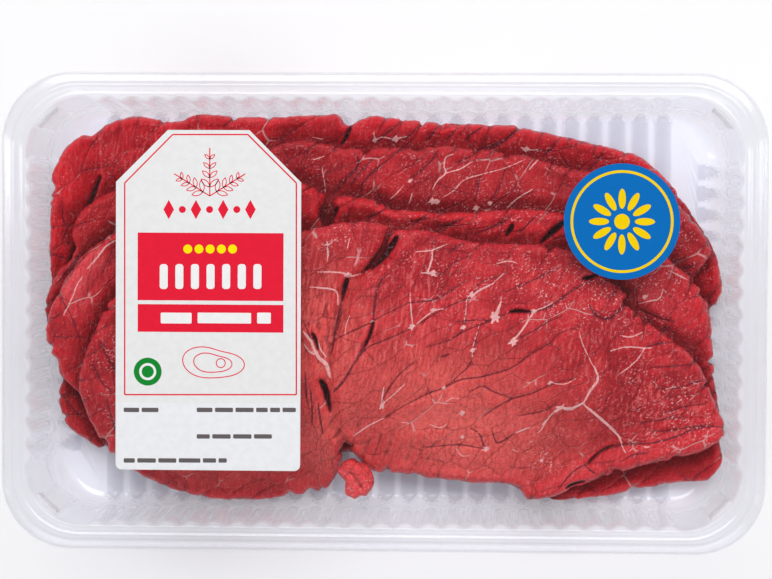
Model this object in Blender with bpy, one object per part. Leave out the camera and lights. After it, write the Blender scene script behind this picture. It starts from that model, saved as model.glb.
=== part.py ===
"""A sealed meat tray pack: a clear fluted tray with a flat lid film, a paper label and a round
sticker on the film, and four shingled slices of raw beef with one loose scrap inside.

Sizes are in millimetres and become metres when a mesh is made. +X runs along the pack, +Y to
its rear edge, +Z up. The origin is under the middle of the tray, on the surface it rests on.
"""

import math

import bpy
import numpy as np
from mathutils import Vector
from mathutils.bvhtree import BVHTree
from mathutils.geometry import delaunay_2d_cdt
from mathutils.noise import noise

MM = 0.001
FIT_GAP = 0.3

# Tray
TRAY_LENGTH = 230.0
TRAY_WIDTH = 144.0
TRAY_HEIGHT = 39.2
TRAY_WALL = 0.6
OUTER_CORNER = 21.0
FLANGE_WIDTH = 7.6
FLANGE_CORNER = 17.5
CORNER_SHRINK = 0.97
CORNER_STEPS = 6
LIP_DROP = 2.6
LIP_ROUND = 0.5
LIP_SHELF = 2.6
LAND_START = 3.4
STEP_DROP = 1.0
SOFT_EDGE = 0.3
WALL_TOP_DROP = 2.2
WALL_DRAFT = 1.6
SIDE_FILLET = 5.0
END_FILLET = 8.5
FILLET_ANGLES = (0.0, 40.0, 90.0)
FLUTES_ON_SIDE = 25
FLUTES_ON_END = 14
FLUTE_DEPTH = 1.1
RIB_HEIGHT = 0.9

# Lid film and what is stuck to it
FILM_THICKNESS = 0.25
FILM_MARGIN = 0.6
PRINT_THICKNESS = 0.15
LABEL_LEFT = -80.0
LABEL_RIGHT = -24.3
LABEL_FRONT = -47.6
LABEL_REAR = 54.5
LABEL_CHAMFER = 15.6
LABEL_CORNER = 1.8
STICKER_CENTRE = (71.4, 27.7)
STICKER_DIAMETER = 34.6
STICKER_STEPS = 48

# Meat
SLICE_THICKNESS = 6.8
EDGE_STEP = 6.0
EDGE_BULGE = 1.7
EDGE_LOW = 0.25
EDGE_HIGH = 0.74
LATTICE = 9.5
ROW_SHARE = 0.87
RIM_SPACING = 1.2
FEATURE_SPACING = 1.3
LATTICE_SPACING_SHARE = 0.45
EDGE_SPACING = 0.8 * EDGE_BULGE
FEATURE_STEP = 4.0
DRAPE_REACH = 3.0
DRAPE_BLUR = 5.0
BLUR_CELLS = 8
FIELD_STEP = 2.0
SOFT_WAVE = 0.5
SOFT_WAVELENGTH = 19.0
CLEARANCE = 0.45
SAMPLES_ALONG = 8
SETTLE_ROUNDS = 14
ABOVE_ALL = 200.0
SCRAP_STEP = 2.4
SCRAP_REACH = 5.5
SCRAP_THICKNESS = 5.5
SCRAP_SAG = 3.0
SCRAP_MIDDLE = 1.15
SCRAP_ROUND = 0.45

# Outlines seen from above, clockwise from the left
REAR_OUTLINE = [
    (-104, 30), (-103.5, 41), (-100, 49), (-93, 55), (-80, 59.5), (-66.5, 58), (-60, 60.3),
    (-40, 59.5), (-16, 60.3), (-12.5, 57), (-6, 60), (16, 58), (40, 57), (56, 53.5),
    (75, 49), (84, 43.5), (92, 34), (98, 25), (102.5, 16), (103.5, 6), (100, -2), (90, -10),
    (70, -16), (30, -19), (-40, -18), (-80, -14), (-97, -8), (-103.5, 5),
]
SECOND_OUTLINE = [
    (-94.5, 29), (-84, 36.5), (-66, 43), (-46, 47), (-27, 52), (-10, 49.5), (15, 50.5),
    (40, 48), (56, 44), (74, 40.5), (88, 34), (96, 26), (100, 18), (95, 12), (94.5, -5),
    (92, -22), (72, -29), (30, -32), (-28, -33), (-62, -38), (-84, -44.5), (-94, -42),
    (-101, -35), (-102.5, -28), (-101, -21), (-103.8, -8), (-104, 4), (-100, 12),
    (-95.5, 18), (-96.5, 23),
]
THIRD_OUTLINE = [
    (-83, 23), (-66, 31.5), (-45, 38), (-25, 38.5), (-19, 35), (-20, 29), (-17.5, 24),
    (-15.5, 29), (-15.5, 34.5), (-4, 33.5), (12, 30), (34, 30.5), (47, 31), (64, 26.5),
    (82, 19), (94, 9), (99, 0), (101.5, -20), (104.3, -38), (104.2, -46), (101, -51.5),
    (88, -53.5), (66, -58), (52, -59), (40, -55), (20, -48), (-12, -44.5), (-55, -42.5),
    (-82, -35.5), (-95, -26), (-101, -18), (-103.2, -6), (-98.5, 6), (-92, 16),
]
TOP_OUTLINE = [
    (-41, 21.5), (-25, 24), (-10, 27), (1.5, 25), (-2, 18), (-7.5, 11), (-0.5, 16),
    (3.5, 24), (12, 24.5), (28, 21), (47, 20), (58, 18), (66, 11), (73, 6), (72, 3.5),
    (80, -3), (93, -13), (99, -23), (104.3, -37), (98, -42), (84, -46), (67, -51),
    (52, -57), (45, -58), (41, -54), (21, -52.5), (-4, -49.5), (-9, -44.5),
    (-12.5, -40.5), (-14, -48), (-18, -55.5), (-38, -59.5), (-58, -59), (-75, -53),
    (-85, -45), (-91.5, -31), (-93, -20), (-87.5, -7), (-84, 1), (-72, 12), (-57, 18.5),
]
SCRAP_OUTLINE = [
    (-11, -46), (-7, -46.5), (-4, -50), (-3.5, -54), (-6.5, -57.5), (-11.5, -57),
    (-11.5, -53), (-14, -49.5),
]

# Ridges and grooves on the slices' upper faces: path, half width, height
REAR_CURL = ([(-98, 46), (-99.5, 36), (-99.5, 24), (-97, 15)], 6.5, 3.2)
REAR_CREASE = ([(-90, 40), (-93, 30), (-95, 18)], 3.0, -2.4)
THIRD_ROLL = ([(-86, 16), (-93, 6), (-97, -5)], 5.0, 1.4)
TOP_SEAM = ([(-7.5, 11), (-13, 5), (-18, -10), (-19, -22), (-15, -34), (-12.5, -40)], 3.2, -3.2)
TOP_ROLL = ([(47, -54), (60, -48.5), (78, -44), (97, -39)], 4.4, 2.4)
TOP_CREASE = ([(47, -49.5), (60, -43.5), (78, -38.5), (93, -34)], 2.6, -1.7)

# Where a whole slice is held up, by the tray's walls or its own stiffness: path, reach, rise
REAR_LEAN = ([(-107, 46), (-108, 25), (-108, 2)], 17.0, 10.0)
SECOND_LEAN = ([(-108, 2), (-107, -34)], 15.0, 5.0)
THIRD_LEAN = ([(108, -26), (107, -50)], 16.0, 5.0)


def clear_scene():
    """Remove what a new file holds."""
    for item in list(bpy.data.objects):
        bpy.data.objects.remove(item, do_unlink=True)


def make_material(name, colour, roughness, transmission=0.0, coat=0.0):
    """Make a Principled material with one colour."""
    material = bpy.data.materials.new(name)
    material.use_nodes = True
    shader = material.node_tree.nodes["Principled BSDF"]
    shader.inputs["Base Color"].default_value = (*colour, 1.0)
    shader.inputs["Roughness"].default_value = roughness
    shader.inputs["Metallic"].default_value = 0.0
    shader.inputs["Transmission Weight"].default_value = transmission
    shader.inputs["Coat Weight"].default_value = coat
    material.diffuse_color = (*colour, 1.0)
    return material


def make_object(name, points, faces, material, smooth=False):
    """Make one object from points in millimetres."""
    mesh = bpy.data.meshes.new(name)
    mesh.from_pydata([tuple(MM * value for value in point) for point in points], [], faces)
    mesh.validate()
    mesh.materials.append(material)
    if smooth:
        mesh.shade_smooth()
        mesh.set_sharp_from_angle(angle=math.radians(40))
    item = bpy.data.objects.new(name, mesh)
    bpy.context.collection.objects.link(item)
    return item


def corner_radius(inset):
    """Give the tray's corner radius at a distance in from its outer edge."""
    if inset <= FLANGE_WIDTH:
        return OUTER_CORNER + (FLANGE_CORNER - OUTER_CORNER) * inset / FLANGE_WIDTH
    return FLANGE_CORNER - CORNER_SHRINK * (inset - FLANGE_WIDTH)


def tray_stations():
    """List the columns round the tray, anticlockwise from the right end's front corner.

    Each is (quarter turn, along, wave, endness): along runs from -1 to 1 on a straight side
    and from 2 to 3 round the corner that follows it, wave is 1 on a flute's crest, and
    endness is 1 on the short ends and 0 on the long sides.
    """
    stations = []
    for turn in range(4):
        on_end = turn % 2 == 0
        flutes = FLUTES_ON_END if on_end else FLUTES_ON_SIDE
        endness = 1.0 if on_end else 0.0
        for flute in range(flutes):
            for column, wave in ((1, 0.0), (3, 1.0), (5, 0.0)):
                along = 2.0 * (flute + column / 6.0) / flutes - 1.0
                stations.append((turn, along, wave, endness))
        for step in range(CORNER_STEPS + 1):
            share = step / CORNER_STEPS
            stations.append((turn, 2.0 + share, 0.0, endness + (1.0 - 2.0 * endness) * share))
    return stations


def ring_point(station, inset):
    """Place a station on the rounded rectangle that lies inset from the outer edge."""
    turn, along = station[0], station[1]
    radius = corner_radius(inset)
    half = (TRAY_LENGTH / 2 - inset, TRAY_WIDTH / 2 - inset)
    if turn % 2:
        half = (half[1], half[0])
    reach = half[1] - radius
    if along <= 1.0:
        point = (half[0], along * reach)
    else:
        angle = (along - 2.0) * math.pi / 2
        point = (
            half[0] - radius + radius * math.cos(angle),
            reach + radius * math.sin(angle),
        )
    for _ in range(turn):
        point = (-point[1], point[0])
    return point


def flange_profile():
    """List the flange's insets and heights, from the lip's lower edge to the sealing land."""
    return [
        (0.0, TRAY_HEIGHT - LIP_DROP),
        (LIP_ROUND, TRAY_HEIGHT - STEP_DROP - SOFT_EDGE),
        (LIP_SHELF, TRAY_HEIGHT - STEP_DROP),
        (LAND_START, TRAY_HEIGHT),
    ]


def wall_ring(station, level):
    """Place a station on one of the rings from the flange's inner edge down to the floor."""
    wave, endness = station[2], station[3]
    fillet = SIDE_FILLET + (END_FILLET - SIDE_FILLET) * endness
    base = FLANGE_WIDTH + WALL_DRAFT
    crest = FLUTE_DEPTH * wave
    if level == 0:
        inset, height = FLANGE_WIDTH, TRAY_HEIGHT
    elif level == 1:
        inset, height = FLANGE_WIDTH + SOFT_EDGE + crest, TRAY_HEIGHT - WALL_TOP_DROP
    else:
        angle = math.radians(FILLET_ANGLES[level - 2])
        rise = fillet * (1 - math.sin(angle))
        inset = base + fillet * (1 - math.cos(angle)) + crest * math.cos(angle)
        rib = RIB_HEIGHT * wave * (1 - endness) * math.sin(angle)
        height = TRAY_WALL + rise + rib
    return (*ring_point(station, inset), height)


def flange_faces(columns, corner_columns):
    """Bridge the coarse flange rings, whose columns are only those round the corners."""
    faces = []
    rings = len(flange_profile())
    count = len(corner_columns)
    for ring in range(rings - 1):
        for column in range(count):
            after = (column + 1) % count
            faces.append((
                ring * count + column,
                ring * count + after,
                (ring + 1) * count + after,
                (ring + 1) * count + column,
            ))
    wall_start = rings * count
    for column in range(count):
        after = (column + 1) % count
        first, last = corner_columns[column], corner_columns[after]
        span = (last - first) % columns
        inner = [wall_start + (first + step) % columns for step in range(span + 1)]
        outer = [(rings - 1) * count + column, (rings - 1) * count + after]
        faces.append((outer[0], outer[1], *reversed(inner)))
    return faces


def floor_faces(stations, floor_start):
    """Join the long sides' columns straight across the floor, and fill the two ends."""
    rear = [i for i, s in enumerate(stations) if s[0] == 1 and s[1] <= 1.0]
    front = [i for i, s in enumerate(stations) if s[0] == 3 and s[1] <= 1.0]
    front.reverse()
    faces = []
    for step in range(len(rear) - 1):
        faces.append((
            floor_start + rear[step],
            floor_start + rear[step + 1],
            floor_start + front[step + 1],
            floor_start + front[step],
        ))
    columns = len(stations)
    right = [front[0] + step for step in range((rear[0] - front[0]) % columns + 1)]
    left = [rear[-1] + step for step in range((front[-1] - rear[-1]) % columns + 1)]
    faces.append(tuple(floor_start + i % columns for i in right))
    faces.append(tuple(floor_start + i % columns for i in left))
    return faces


def make_tray(material):
    """Make the tray as one thin formed sheet."""
    stations = tray_stations()
    columns = len(stations)
    corner_columns = [i for i, s in enumerate(stations) if s[1] >= 2.0]
    points = []
    for inset, height in flange_profile():
        for column in corner_columns:
            points.append((*ring_point(stations[column], inset), height))
    faces = flange_faces(columns, corner_columns)
    wall_start = len(points)
    levels = 2 + len(FILLET_ANGLES)
    for level in range(levels):
        points.extend(wall_ring(station, level) for station in stations)
    for level in range(levels - 1):
        for column in range(columns):
            after = (column + 1) % columns
            start = wall_start + level * columns
            faces.append((
                start + column,
                start + after,
                start + columns + after,
                start + columns + column,
            ))
    faces.extend(floor_faces(stations, wall_start + (levels - 1) * columns))
    tray = make_object("tray", points, faces, material)
    sheet = tray.modifiers.new("sheet", "SOLIDIFY")
    sheet.thickness = TRAY_WALL * MM
    sheet.offset = -1.0
    sheet.use_even_offset = True
    return tray


def make_plate(name, outline, low, high, material):
    """Make a flat plate from an anticlockwise outline."""
    count = len(outline)
    points = [(x, y, low) for x, y in outline] + [(x, y, high) for x, y in outline]
    faces = [tuple(reversed(range(count))), tuple(range(count, 2 * count))]
    for step in range(count):
        after = (step + 1) % count
        faces.append((step, after, count + after, count + step))
    return make_object(name, points, faces, material)


def arc(centre, radius, start, stop, steps):
    """List points on an arc, its angles in degrees."""
    angles = [math.radians(start + (stop - start) * i / steps) for i in range(steps + 1)]
    return [
        (centre[0] + radius * math.cos(a), centre[1] + radius * math.sin(a)) for a in angles
    ]


def film_outline():
    """Give the film's rounded rectangle, a little inside the flange's outer edge."""
    stations = [s for s in tray_stations() if s[1] >= 2.0]
    return [ring_point(station, FILM_MARGIN) for station in stations]


def label_outline():
    """Give the label's outline: chamfered rear corners and small round front corners."""
    outline = arc((LABEL_LEFT + LABEL_CORNER, LABEL_FRONT + LABEL_CORNER), LABEL_CORNER, 180, 270, 4)
    outline += arc((LABEL_RIGHT - LABEL_CORNER, LABEL_FRONT + LABEL_CORNER), LABEL_CORNER, 270, 360, 4)
    outline += [
        (LABEL_RIGHT, LABEL_REAR - LABEL_CHAMFER),
        (LABEL_RIGHT - LABEL_CHAMFER, LABEL_REAR),
        (LABEL_LEFT + LABEL_CHAMFER, LABEL_REAR),
        (LABEL_LEFT, LABEL_REAR - LABEL_CHAMFER),
    ]
    return outline


def sticker_outline():
    """Give the round sticker's outline."""
    return arc(STICKER_CENTRE, STICKER_DIAMETER / 2, 0, 360, STICKER_STEPS)[:-1]


def smooth_outline(control, step):
    """Run a closed Catmull-Rom curve through the control points, anticlockwise."""
    points = []
    count = len(control)
    knots = [np.array(point, dtype=float) for point in reversed(control)]
    for index in range(count):
        before, start, end, after = (knots[(index + shift) % count] for shift in (-1, 0, 1, 2))
        pieces = max(1, round(float(np.linalg.norm(end - start)) / step))
        for piece in range(pieces):
            t = piece / pieces
            points.append(0.5 * (
                2 * start
                + (end - before) * t
                + (2 * before - 5 * start + 4 * end - after) * t ** 2
                + (3 * start - before - 3 * end + after) * t ** 3
            ))
    return np.array(points)


def distance_to_path(points, path):
    """Give each point's distance to an open path."""
    best = np.full(len(points), np.inf)
    for start, end in zip(path[:-1], path[1:]):
        along = end - start
        share = np.clip((points - start) @ along / (along @ along), 0.0, 1.0)
        near = start + share[:, None] * along
        best = np.minimum(best, np.linalg.norm(points - near, axis=1))
    return best


def inside_outline(points, outline):
    """Tell which points lie inside a closed outline."""
    inside = np.zeros(len(points), dtype=bool)
    for start, end in zip(outline, np.roll(outline, -1, axis=0)):
        crosses = (start[1] > points[:, 1]) != (end[1] > points[:, 1])
        rise = end[1] - start[1] if end[1] != start[1] else 1.0
        at = start[0] + (points[:, 1] - start[1]) * (end[0] - start[0]) / rise
        inside ^= crosses & (points[:, 0] < at)
    return inside


def points_along(path, step):
    """List points spaced along an open path, and the sideways direction at each."""
    placed, sideways = [], []
    for start, end in zip(path[:-1], path[1:]):
        length = float(np.linalg.norm(end - start))
        pieces = max(1, round(length / step))
        side = np.array([start[1] - end[1], end[0] - start[0]]) / length
        for piece in range(pieces):
            placed.append(start + (end - start) * piece / pieces)
            sideways.append(side)
    return np.array(placed), np.array(sideways)


def facing_up(plan, triangle):
    """Order a triangle's corners anticlockwise."""
    a, b, c = (plan[corner] for corner in triangle)
    turn = (b[0] - a[0]) * (c[1] - a[1]) - (b[1] - a[1]) * (c[0] - a[0])
    return tuple(triangle) if turn > 0 else tuple(reversed(triangle))


def slice_plan(outline, features, lattice):
    """Choose the points of a slice seen from above, its edge first, and its triangles."""
    closed = np.vstack([outline, outline[:1]])
    tangent = np.roll(outline, -1, axis=0) - np.roll(outline, 1, axis=0)
    tangent /= np.linalg.norm(tangent, axis=1)[:, None]
    inward = np.stack([-tangent[:, 1], tangent[:, 0]], axis=1)
    rim = outline + EDGE_BULGE * inward
    extra = [rim]
    for path, half_width, _ in features:
        placed, sideways = points_along(np.array(path, dtype=float), FEATURE_STEP)
        extra += [placed, placed + half_width * sideways, placed - half_width * sideways]
    low, high = outline.min(axis=0), outline.max(axis=0)
    rows = []
    row_step = lattice * ROW_SHARE
    for row in range(int((high[1] - low[1]) / row_step) + 1):
        y = low[1] + row * row_step
        shift = lattice / 2 if row % 2 else 0.0
        rows += [(x, y) for x in np.arange(low[0] + shift, high[0], lattice)]
    extra.append(np.array(rows))
    kept = list(outline)
    edge_count = len(kept)
    spacings = [RIM_SPACING] + [FEATURE_SPACING] * (len(extra) - 2)
    spacings.append(lattice * LATTICE_SPACING_SHARE)
    for group, keep_off in zip(extra, spacings):
        inside = inside_outline(group, outline)
        far = distance_to_path(group, closed) >= min(keep_off, EDGE_SPACING)
        for point in group[inside & far]:
            gaps = np.linalg.norm(np.array(kept[edge_count:] or [(1e3, 1e3)]) - point, axis=1)
            if gaps.min() >= keep_off:
                kept.append(point)
    loop = [list(range(edge_count))]
    placed, _, found, *_ = delaunay_2d_cdt([Vector(p) for p in kept], [], loop, 1, 1e-4)
    plan = np.array([tuple(p) for p in placed])
    return plan, [facing_up(plan, triangle) for triangle in found], edge_count


def rises(plan, features):
    """Add up the ridges, grooves or leans at each place."""
    height = np.zeros(len(plan))
    for path, half_width, rise in features:
        away = distance_to_path(plan, np.array(path, dtype=float)) / half_width
        height += rise * np.clip(1 - away ** 2, 0.0, 1.0)
    return height


def soft_waves(plan, seed):
    """Give the gentle unevenness of a slice's upper face."""
    return np.array([
        SOFT_WAVE * noise(Vector((x / SOFT_WAVELENGTH, y / SOFT_WAVELENGTH, seed)))
        for x, y in plan
    ])


class Pile:
    """What lies in the tray so far, and how high it reaches at any place."""

    def __init__(self, tray):
        self.trees = []
        self.add_object(tray)
        half_x, half_y = TRAY_LENGTH / 2, TRAY_WIDTH / 2
        self.xs = np.arange(-half_x, half_x + FIELD_STEP, FIELD_STEP)
        self.ys = np.arange(-half_y, half_y + FIELD_STEP, FIELD_STEP)

    def add_object(self, item):
        """Add an object, as its modifiers leave it."""
        depsgraph = bpy.context.evaluated_depsgraph_get()
        mesh = item.evaluated_get(depsgraph).to_mesh()
        points = [vertex.co / MM for vertex in mesh.vertices]
        faces = [tuple(face.vertices) for face in mesh.polygons]
        self.trees.append(BVHTree.FromPolygons(points, faces))

    def height(self, x, y, trees=None):
        """Give the height of the highest thing at a place."""
        best = 0.0
        for tree in self.trees if trees is None else trees:
            hit = tree.ray_cast(Vector((x, y, ABOVE_ALL)), Vector((0.0, 0.0, -1.0)))
            if hit[0] is not None:
                best = max(best, hit[0].z)
        return best

    def drape(self):
        """Give a height field of the meat so far, widened and smoothed as soft meat would lie."""
        meat = self.trees[1:]
        field = np.array([[self.height(x, y, meat) for x in self.xs] for y in self.ys])
        reach = round(DRAPE_REACH / FIELD_STEP)
        wide = field.copy()
        for dy in range(-reach, reach + 1):
            for dx in range(-reach, reach + 1):
                wide = np.maximum(wide, np.roll(np.roll(field, dy, axis=0), dx, axis=1))
        wide = np.maximum(wide, TRAY_WALL + RIB_HEIGHT)
        offsets = np.arange(-BLUR_CELLS, BLUR_CELLS + 1)
        weights = np.exp(-0.5 * (offsets * FIELD_STEP / DRAPE_BLUR) ** 2)
        weights /= weights.sum()
        for axis in (0, 1):
            wide = sum(w * np.roll(wide, o, axis=axis) for w, o in zip(weights, offsets))
        return wide

    def sample(self, field, plan):
        """Read a height field between its grid points."""
        fx = np.clip((plan[:, 0] - self.xs[0]) / FIELD_STEP, 0, len(self.xs) - 1.001)
        fy = np.clip((plan[:, 1] - self.ys[0]) / FIELD_STEP, 0, len(self.ys) - 1.001)
        ix, iy = fx.astype(int), fy.astype(int)
        tx, ty = fx - ix, fy - iy
        low = field[iy, ix] * (1 - tx) + field[iy, ix + 1] * tx
        high = field[iy + 1, ix] * (1 - tx) + field[iy + 1, ix + 1] * tx
        return low * (1 - ty) + high * ty

    def lift_clear(self, plan, triangles, bottom):
        """Raise a lower face until it clears everything under it."""
        parts = SAMPLES_ALONG
        shares = [
            np.array((a, b, parts - a - b)) / parts
            for a in range(parts + 1)
            for b in range(parts + 1 - a)
        ]
        for _ in range(SETTLE_ROUNDS):
            lift = np.zeros(len(plan))
            for triangle in triangles:
                corners = plan[list(triangle)]
                heights = bottom[list(triangle)]
                worst = 0.0
                for share in shares:
                    x, y = share @ corners
                    worst = max(worst, self.height(x, y) + CLEARANCE - share @ heights)
                for corner in triangle:
                    lift[corner] = max(lift[corner], worst)
            bottom = bottom + lift
            if lift.max() <= 0.0:
                break
        return bottom


def make_slice(name, control, features, leans, pile, seed, material):
    """Make one slice that lies on the pile, and add it to the pile."""
    outline = smooth_outline(control, EDGE_STEP)
    plan, triangles, edge_count = slice_plan(outline, features, LATTICE)
    bottom = pile.sample(pile.drape(), plan) + CLEARANCE + rises(plan, leans)
    bottom = pile.lift_clear(plan, triangles, bottom)
    thickness = SLICE_THICKNESS + soft_waves(plan, seed) + rises(plan, features)
    return close_slice(name, plan, triangles, edge_count, bottom, thickness, pile, material)


def make_scrap(name, control, pile, material):
    """Make the small loose nub of meat, which bridges the top slice's front notch."""
    outline = smooth_outline(control, SCRAP_STEP)
    plan, triangles, edge_count = slice_plan(outline, [], SCRAP_STEP)
    bottom = pile.sample(pile.drape(), plan)
    bottom = np.maximum(bottom, bottom.max() - SCRAP_SAG)
    bottom = pile.lift_clear(plan, triangles, bottom)
    centre = plan.mean(axis=0)
    away = np.linalg.norm(plan - centre, axis=1) / SCRAP_REACH
    thickness = SCRAP_THICKNESS * (SCRAP_MIDDLE - SCRAP_ROUND * away ** 2)
    return close_slice(name, plan, triangles, edge_count, bottom, thickness, pile, material)


def close_slice(name, plan, triangles, edge_count, bottom, thickness, pile, material):
    """Close a piece of meat between its lower and upper faces, with a blunt edge."""
    edge = list(range(edge_count))
    top = bottom + thickness
    low = bottom.copy()
    low[edge] = bottom[edge] + EDGE_LOW * thickness[edge]
    top[edge] = bottom[edge] + EDGE_HIGH * thickness[edge]
    count = len(plan)
    points = [(x, y, z) for (x, y), z in zip(plan, low)]
    points += [(x, y, z) for (x, y), z in zip(plan, top)]
    faces = [tuple(reversed(t)) for t in triangles]
    faces += [tuple(count + i for i in t) for t in triangles]
    for step in edge:
        after = (step + 1) % edge_count
        faces.append((step, after, count + after, count + step))
    item = make_object(name, points, faces, material, smooth=True)
    pile.add_object(item)
    return item


def build():
    """Build the whole pack."""
    clear_scene()
    clear_plastic = make_material("clear_plastic", (0.89, 0.90, 0.94), 0.12, transmission=0.9)
    film = make_material("lid_film", (0.96, 0.97, 0.99), 0.06, transmission=0.95)
    label_paper = make_material("label_paper", (0.82, 0.05, 0.09), 0.45)
    sticker_paper = make_material("sticker_paper", (0.0, 0.16, 0.47), 0.4)
    rear_meat = make_material("rear_meat", (0.36, 0.014, 0.022), 0.35, coat=0.3)
    second_meat = make_material("second_meat", (0.38, 0.018, 0.026), 0.35, coat=0.3)
    third_meat = make_material("third_meat", (0.37, 0.018, 0.026), 0.35, coat=0.3)
    top_meat = make_material("top_meat", (0.46, 0.05, 0.045), 0.35, coat=0.3)
    scrap_meat = make_material("scrap_meat", (0.55, 0.05, 0.05), 0.35, coat=0.3)

    tray = make_tray(clear_plastic)
    bpy.context.view_layer.update()
    pile = Pile(tray)
    make_slice("slice_1", REAR_OUTLINE, [REAR_CURL, REAR_CREASE], [REAR_LEAN], pile, 1.7,
               rear_meat)
    make_slice("slice_2", SECOND_OUTLINE, [], [SECOND_LEAN], pile, 4.1, second_meat)
    make_slice("slice_3", THIRD_OUTLINE, [THIRD_ROLL], [THIRD_LEAN], pile, 7.9, third_meat)
    make_slice("slice_4", TOP_OUTLINE, [TOP_SEAM, TOP_ROLL, TOP_CREASE], [], pile, 11.3,
               top_meat)
    make_scrap("meat_scrap", SCRAP_OUTLINE, pile, scrap_meat)

    film_low = TRAY_HEIGHT + FIT_GAP
    film_high = film_low + FILM_THICKNESS
    print_low = film_high + FIT_GAP
    print_high = print_low + PRINT_THICKNESS
    make_plate("lid_film", film_outline(), film_low, film_high, film)
    make_plate("label", label_outline(), print_low, print_high, label_paper)
    make_plate("round_sticker", sticker_outline(), print_low, print_high, sticker_paper)


build()
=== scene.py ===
"""Looks of a sealed meat tray pack: clear fluted tray, lid film, label, sticker and beef slices.

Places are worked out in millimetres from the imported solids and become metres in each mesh.
"""

import math
import random

import bpy
import numpy as np
from mathutils import Euler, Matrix, Vector, kdtree, noise
from mathutils.bvhtree import BVHTree
from mathutils.geometry import delaunay_2d_cdt


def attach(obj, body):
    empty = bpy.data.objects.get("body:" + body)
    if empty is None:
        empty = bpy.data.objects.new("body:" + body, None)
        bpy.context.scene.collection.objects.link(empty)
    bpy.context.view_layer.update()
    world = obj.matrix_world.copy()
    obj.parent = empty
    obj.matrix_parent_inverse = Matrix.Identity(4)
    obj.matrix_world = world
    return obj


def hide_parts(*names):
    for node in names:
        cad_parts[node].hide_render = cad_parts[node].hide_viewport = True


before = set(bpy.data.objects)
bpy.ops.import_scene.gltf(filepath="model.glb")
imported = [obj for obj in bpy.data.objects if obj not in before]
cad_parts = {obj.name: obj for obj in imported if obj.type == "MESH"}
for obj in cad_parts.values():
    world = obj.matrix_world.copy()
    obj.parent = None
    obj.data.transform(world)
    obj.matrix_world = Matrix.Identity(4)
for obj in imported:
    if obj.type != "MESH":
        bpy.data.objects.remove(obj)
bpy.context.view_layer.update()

MM = 0.001
PHOTO_WIDTH = 772
PHOTO_HEIGHT = 579

# Camera: straight above, a touch right of the middle
LENS = 112.5
SENSOR = 36.0
CAMERA_PLACE = (31.7, 26.6, 760.1)
CAMERA_TURN = (-1.54, 2.43, 0.28)

# Tray, as its solid is
TRAY_LENGTH = 230.0
TRAY_WIDTH = 144.0
TRAY_HEIGHT = 39.2
TRAY_WALL = 0.5
OUTER_CORNER = 21.0
FLANGE_WIDTH = 7.6
FLANGE_CORNER = 17.5
CORNER_SHRINK = 0.97
WALL_DRAFT = 1.6
SIDE_FILLET = 5.0
END_FILLET = 8.5
FLUTES_ON_SIDE = 25
FLUTES_ON_END = 14
FLUTE_DEPTH = 1.1
RIB_HEIGHT = 0.9
COLUMNS_PER_FLUTE = 8
CORNER_STEPS = 24
CREST_SHARPNESS = 1.4
LAND_DROP = 2.2
SHOULDER = 0.3
LUG_DEPTH = 1.3
LUG_HALF_SHARE = 0.16
LUG_FOOT = 0.15
FOOT_RISE = 0.8
FOOT_ANGLE = 75.0

# A flute's foot, with painted shade inside it and painted highlights along its outline, the wall's
# streaks and the lugs: its outline's angles, and where it lies on the wave
ARCH_TOP = 86.0
ARCH_SWEEP = 58.0
ARCH_SOFTNESS = 22.0
ARCH_EDGES = (0.2, 0.4)
ARCH_SHADE = 0.8
ARCH_GLINT = 1.3
FILLET_GLINT = 0.15
WALL_SHADE = 0.05
WALL_GLINT = 0.30
WALL_GLINT_PLACE = 0.45
WALL_GLINT_WIDTH = 0.2
LUG_GLINT = 0.6

# Film and print
FILM_THICKNESS = 0.12
FILM_MARGIN = 0.6
FILM_GAP = 0.03
FILM_RISE = 0.22
FILM_WAVE = 0.10
FILM_WAVELENGTH = 46.0
FILM_HELD = 6.5
FILM_FREE = 14.0
FILM_RINGS = 30
PRINT_RISE = 0.33
LABEL_LEFT = -80.0
LABEL_RIGHT = -24.3
LABEL_FRONT = -47.6
LABEL_REAR = 54.5
LABEL_CHAMFER = 15.6
LABEL_CORNER = 1.8
STICKER_CENTRE = (71.4, 27.7)
STICKER_RADIUS = 17.3
PAPER_THICKNESS = 0.12
INK_LIFT = 0.012
INK_THICKNESS = 0.008
PAPER_LEVEL = TRAY_HEIGHT + FILM_GAP + PRINT_RISE + FILM_THICKNESS
INK_LEVEL = PAPER_LEVEL + PAPER_THICKNESS + INK_LIFT
BAR_CORNER = 0.32
WORD_LENGTHS = (3.5, 8.0)
LETTER_SHARE = 0.62
WORD_GAP = 0.55
STEM_WIDTH = 0.34
LEAF_WIDTH = 0.26
DRAWING_WIDTH = 0.3
FRAME_WIDTH = 0.42
PETALS = 12
PETAL_PLACE = 6.8
PETAL_HALF_LENGTH = 3.0
PETAL_HALF_WIDTH = 1.1

# Meat surfaces
GRID_STEP = 0.48
OUTLINE_SAMPLE = 0.1
PATH_STEP = 1.2
FACET_BLUR = 2.6
EDGE_ROUND = 2.0
VEIN_SHARE = 0.62
VEIN_RISE = 0.10
RIM_INSET = 2.2
RIM_WIDTH = 1.3
LEAST_THICKNESS = 0.4
RIPPLE_STRETCH = (82.0, 4.5, 0.95)
SPECK_STRETCH = (35.0, 1.3, 0.9)
FAR_AWAY = 9.0
CELL_RANDOMNESS = 0.9
WARP = 5.0
WARP_WAVELENGTH = 27.0
SMALL_WARP = 0.9
SMALL_WARP_WAVELENGTH = 5.0
NOTCH_DEPTH = 1.4
SEAM_DEPTH = 0.35
GAP_DEPTH = 3.0
TUCK_DEPTH = 2.0
TUCK_REACH = 5.5
PATH_START_HEIGHT = 25.0
PATCH_HEIGHT = 24.0
LATTICE_STEP = 3.0

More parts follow.
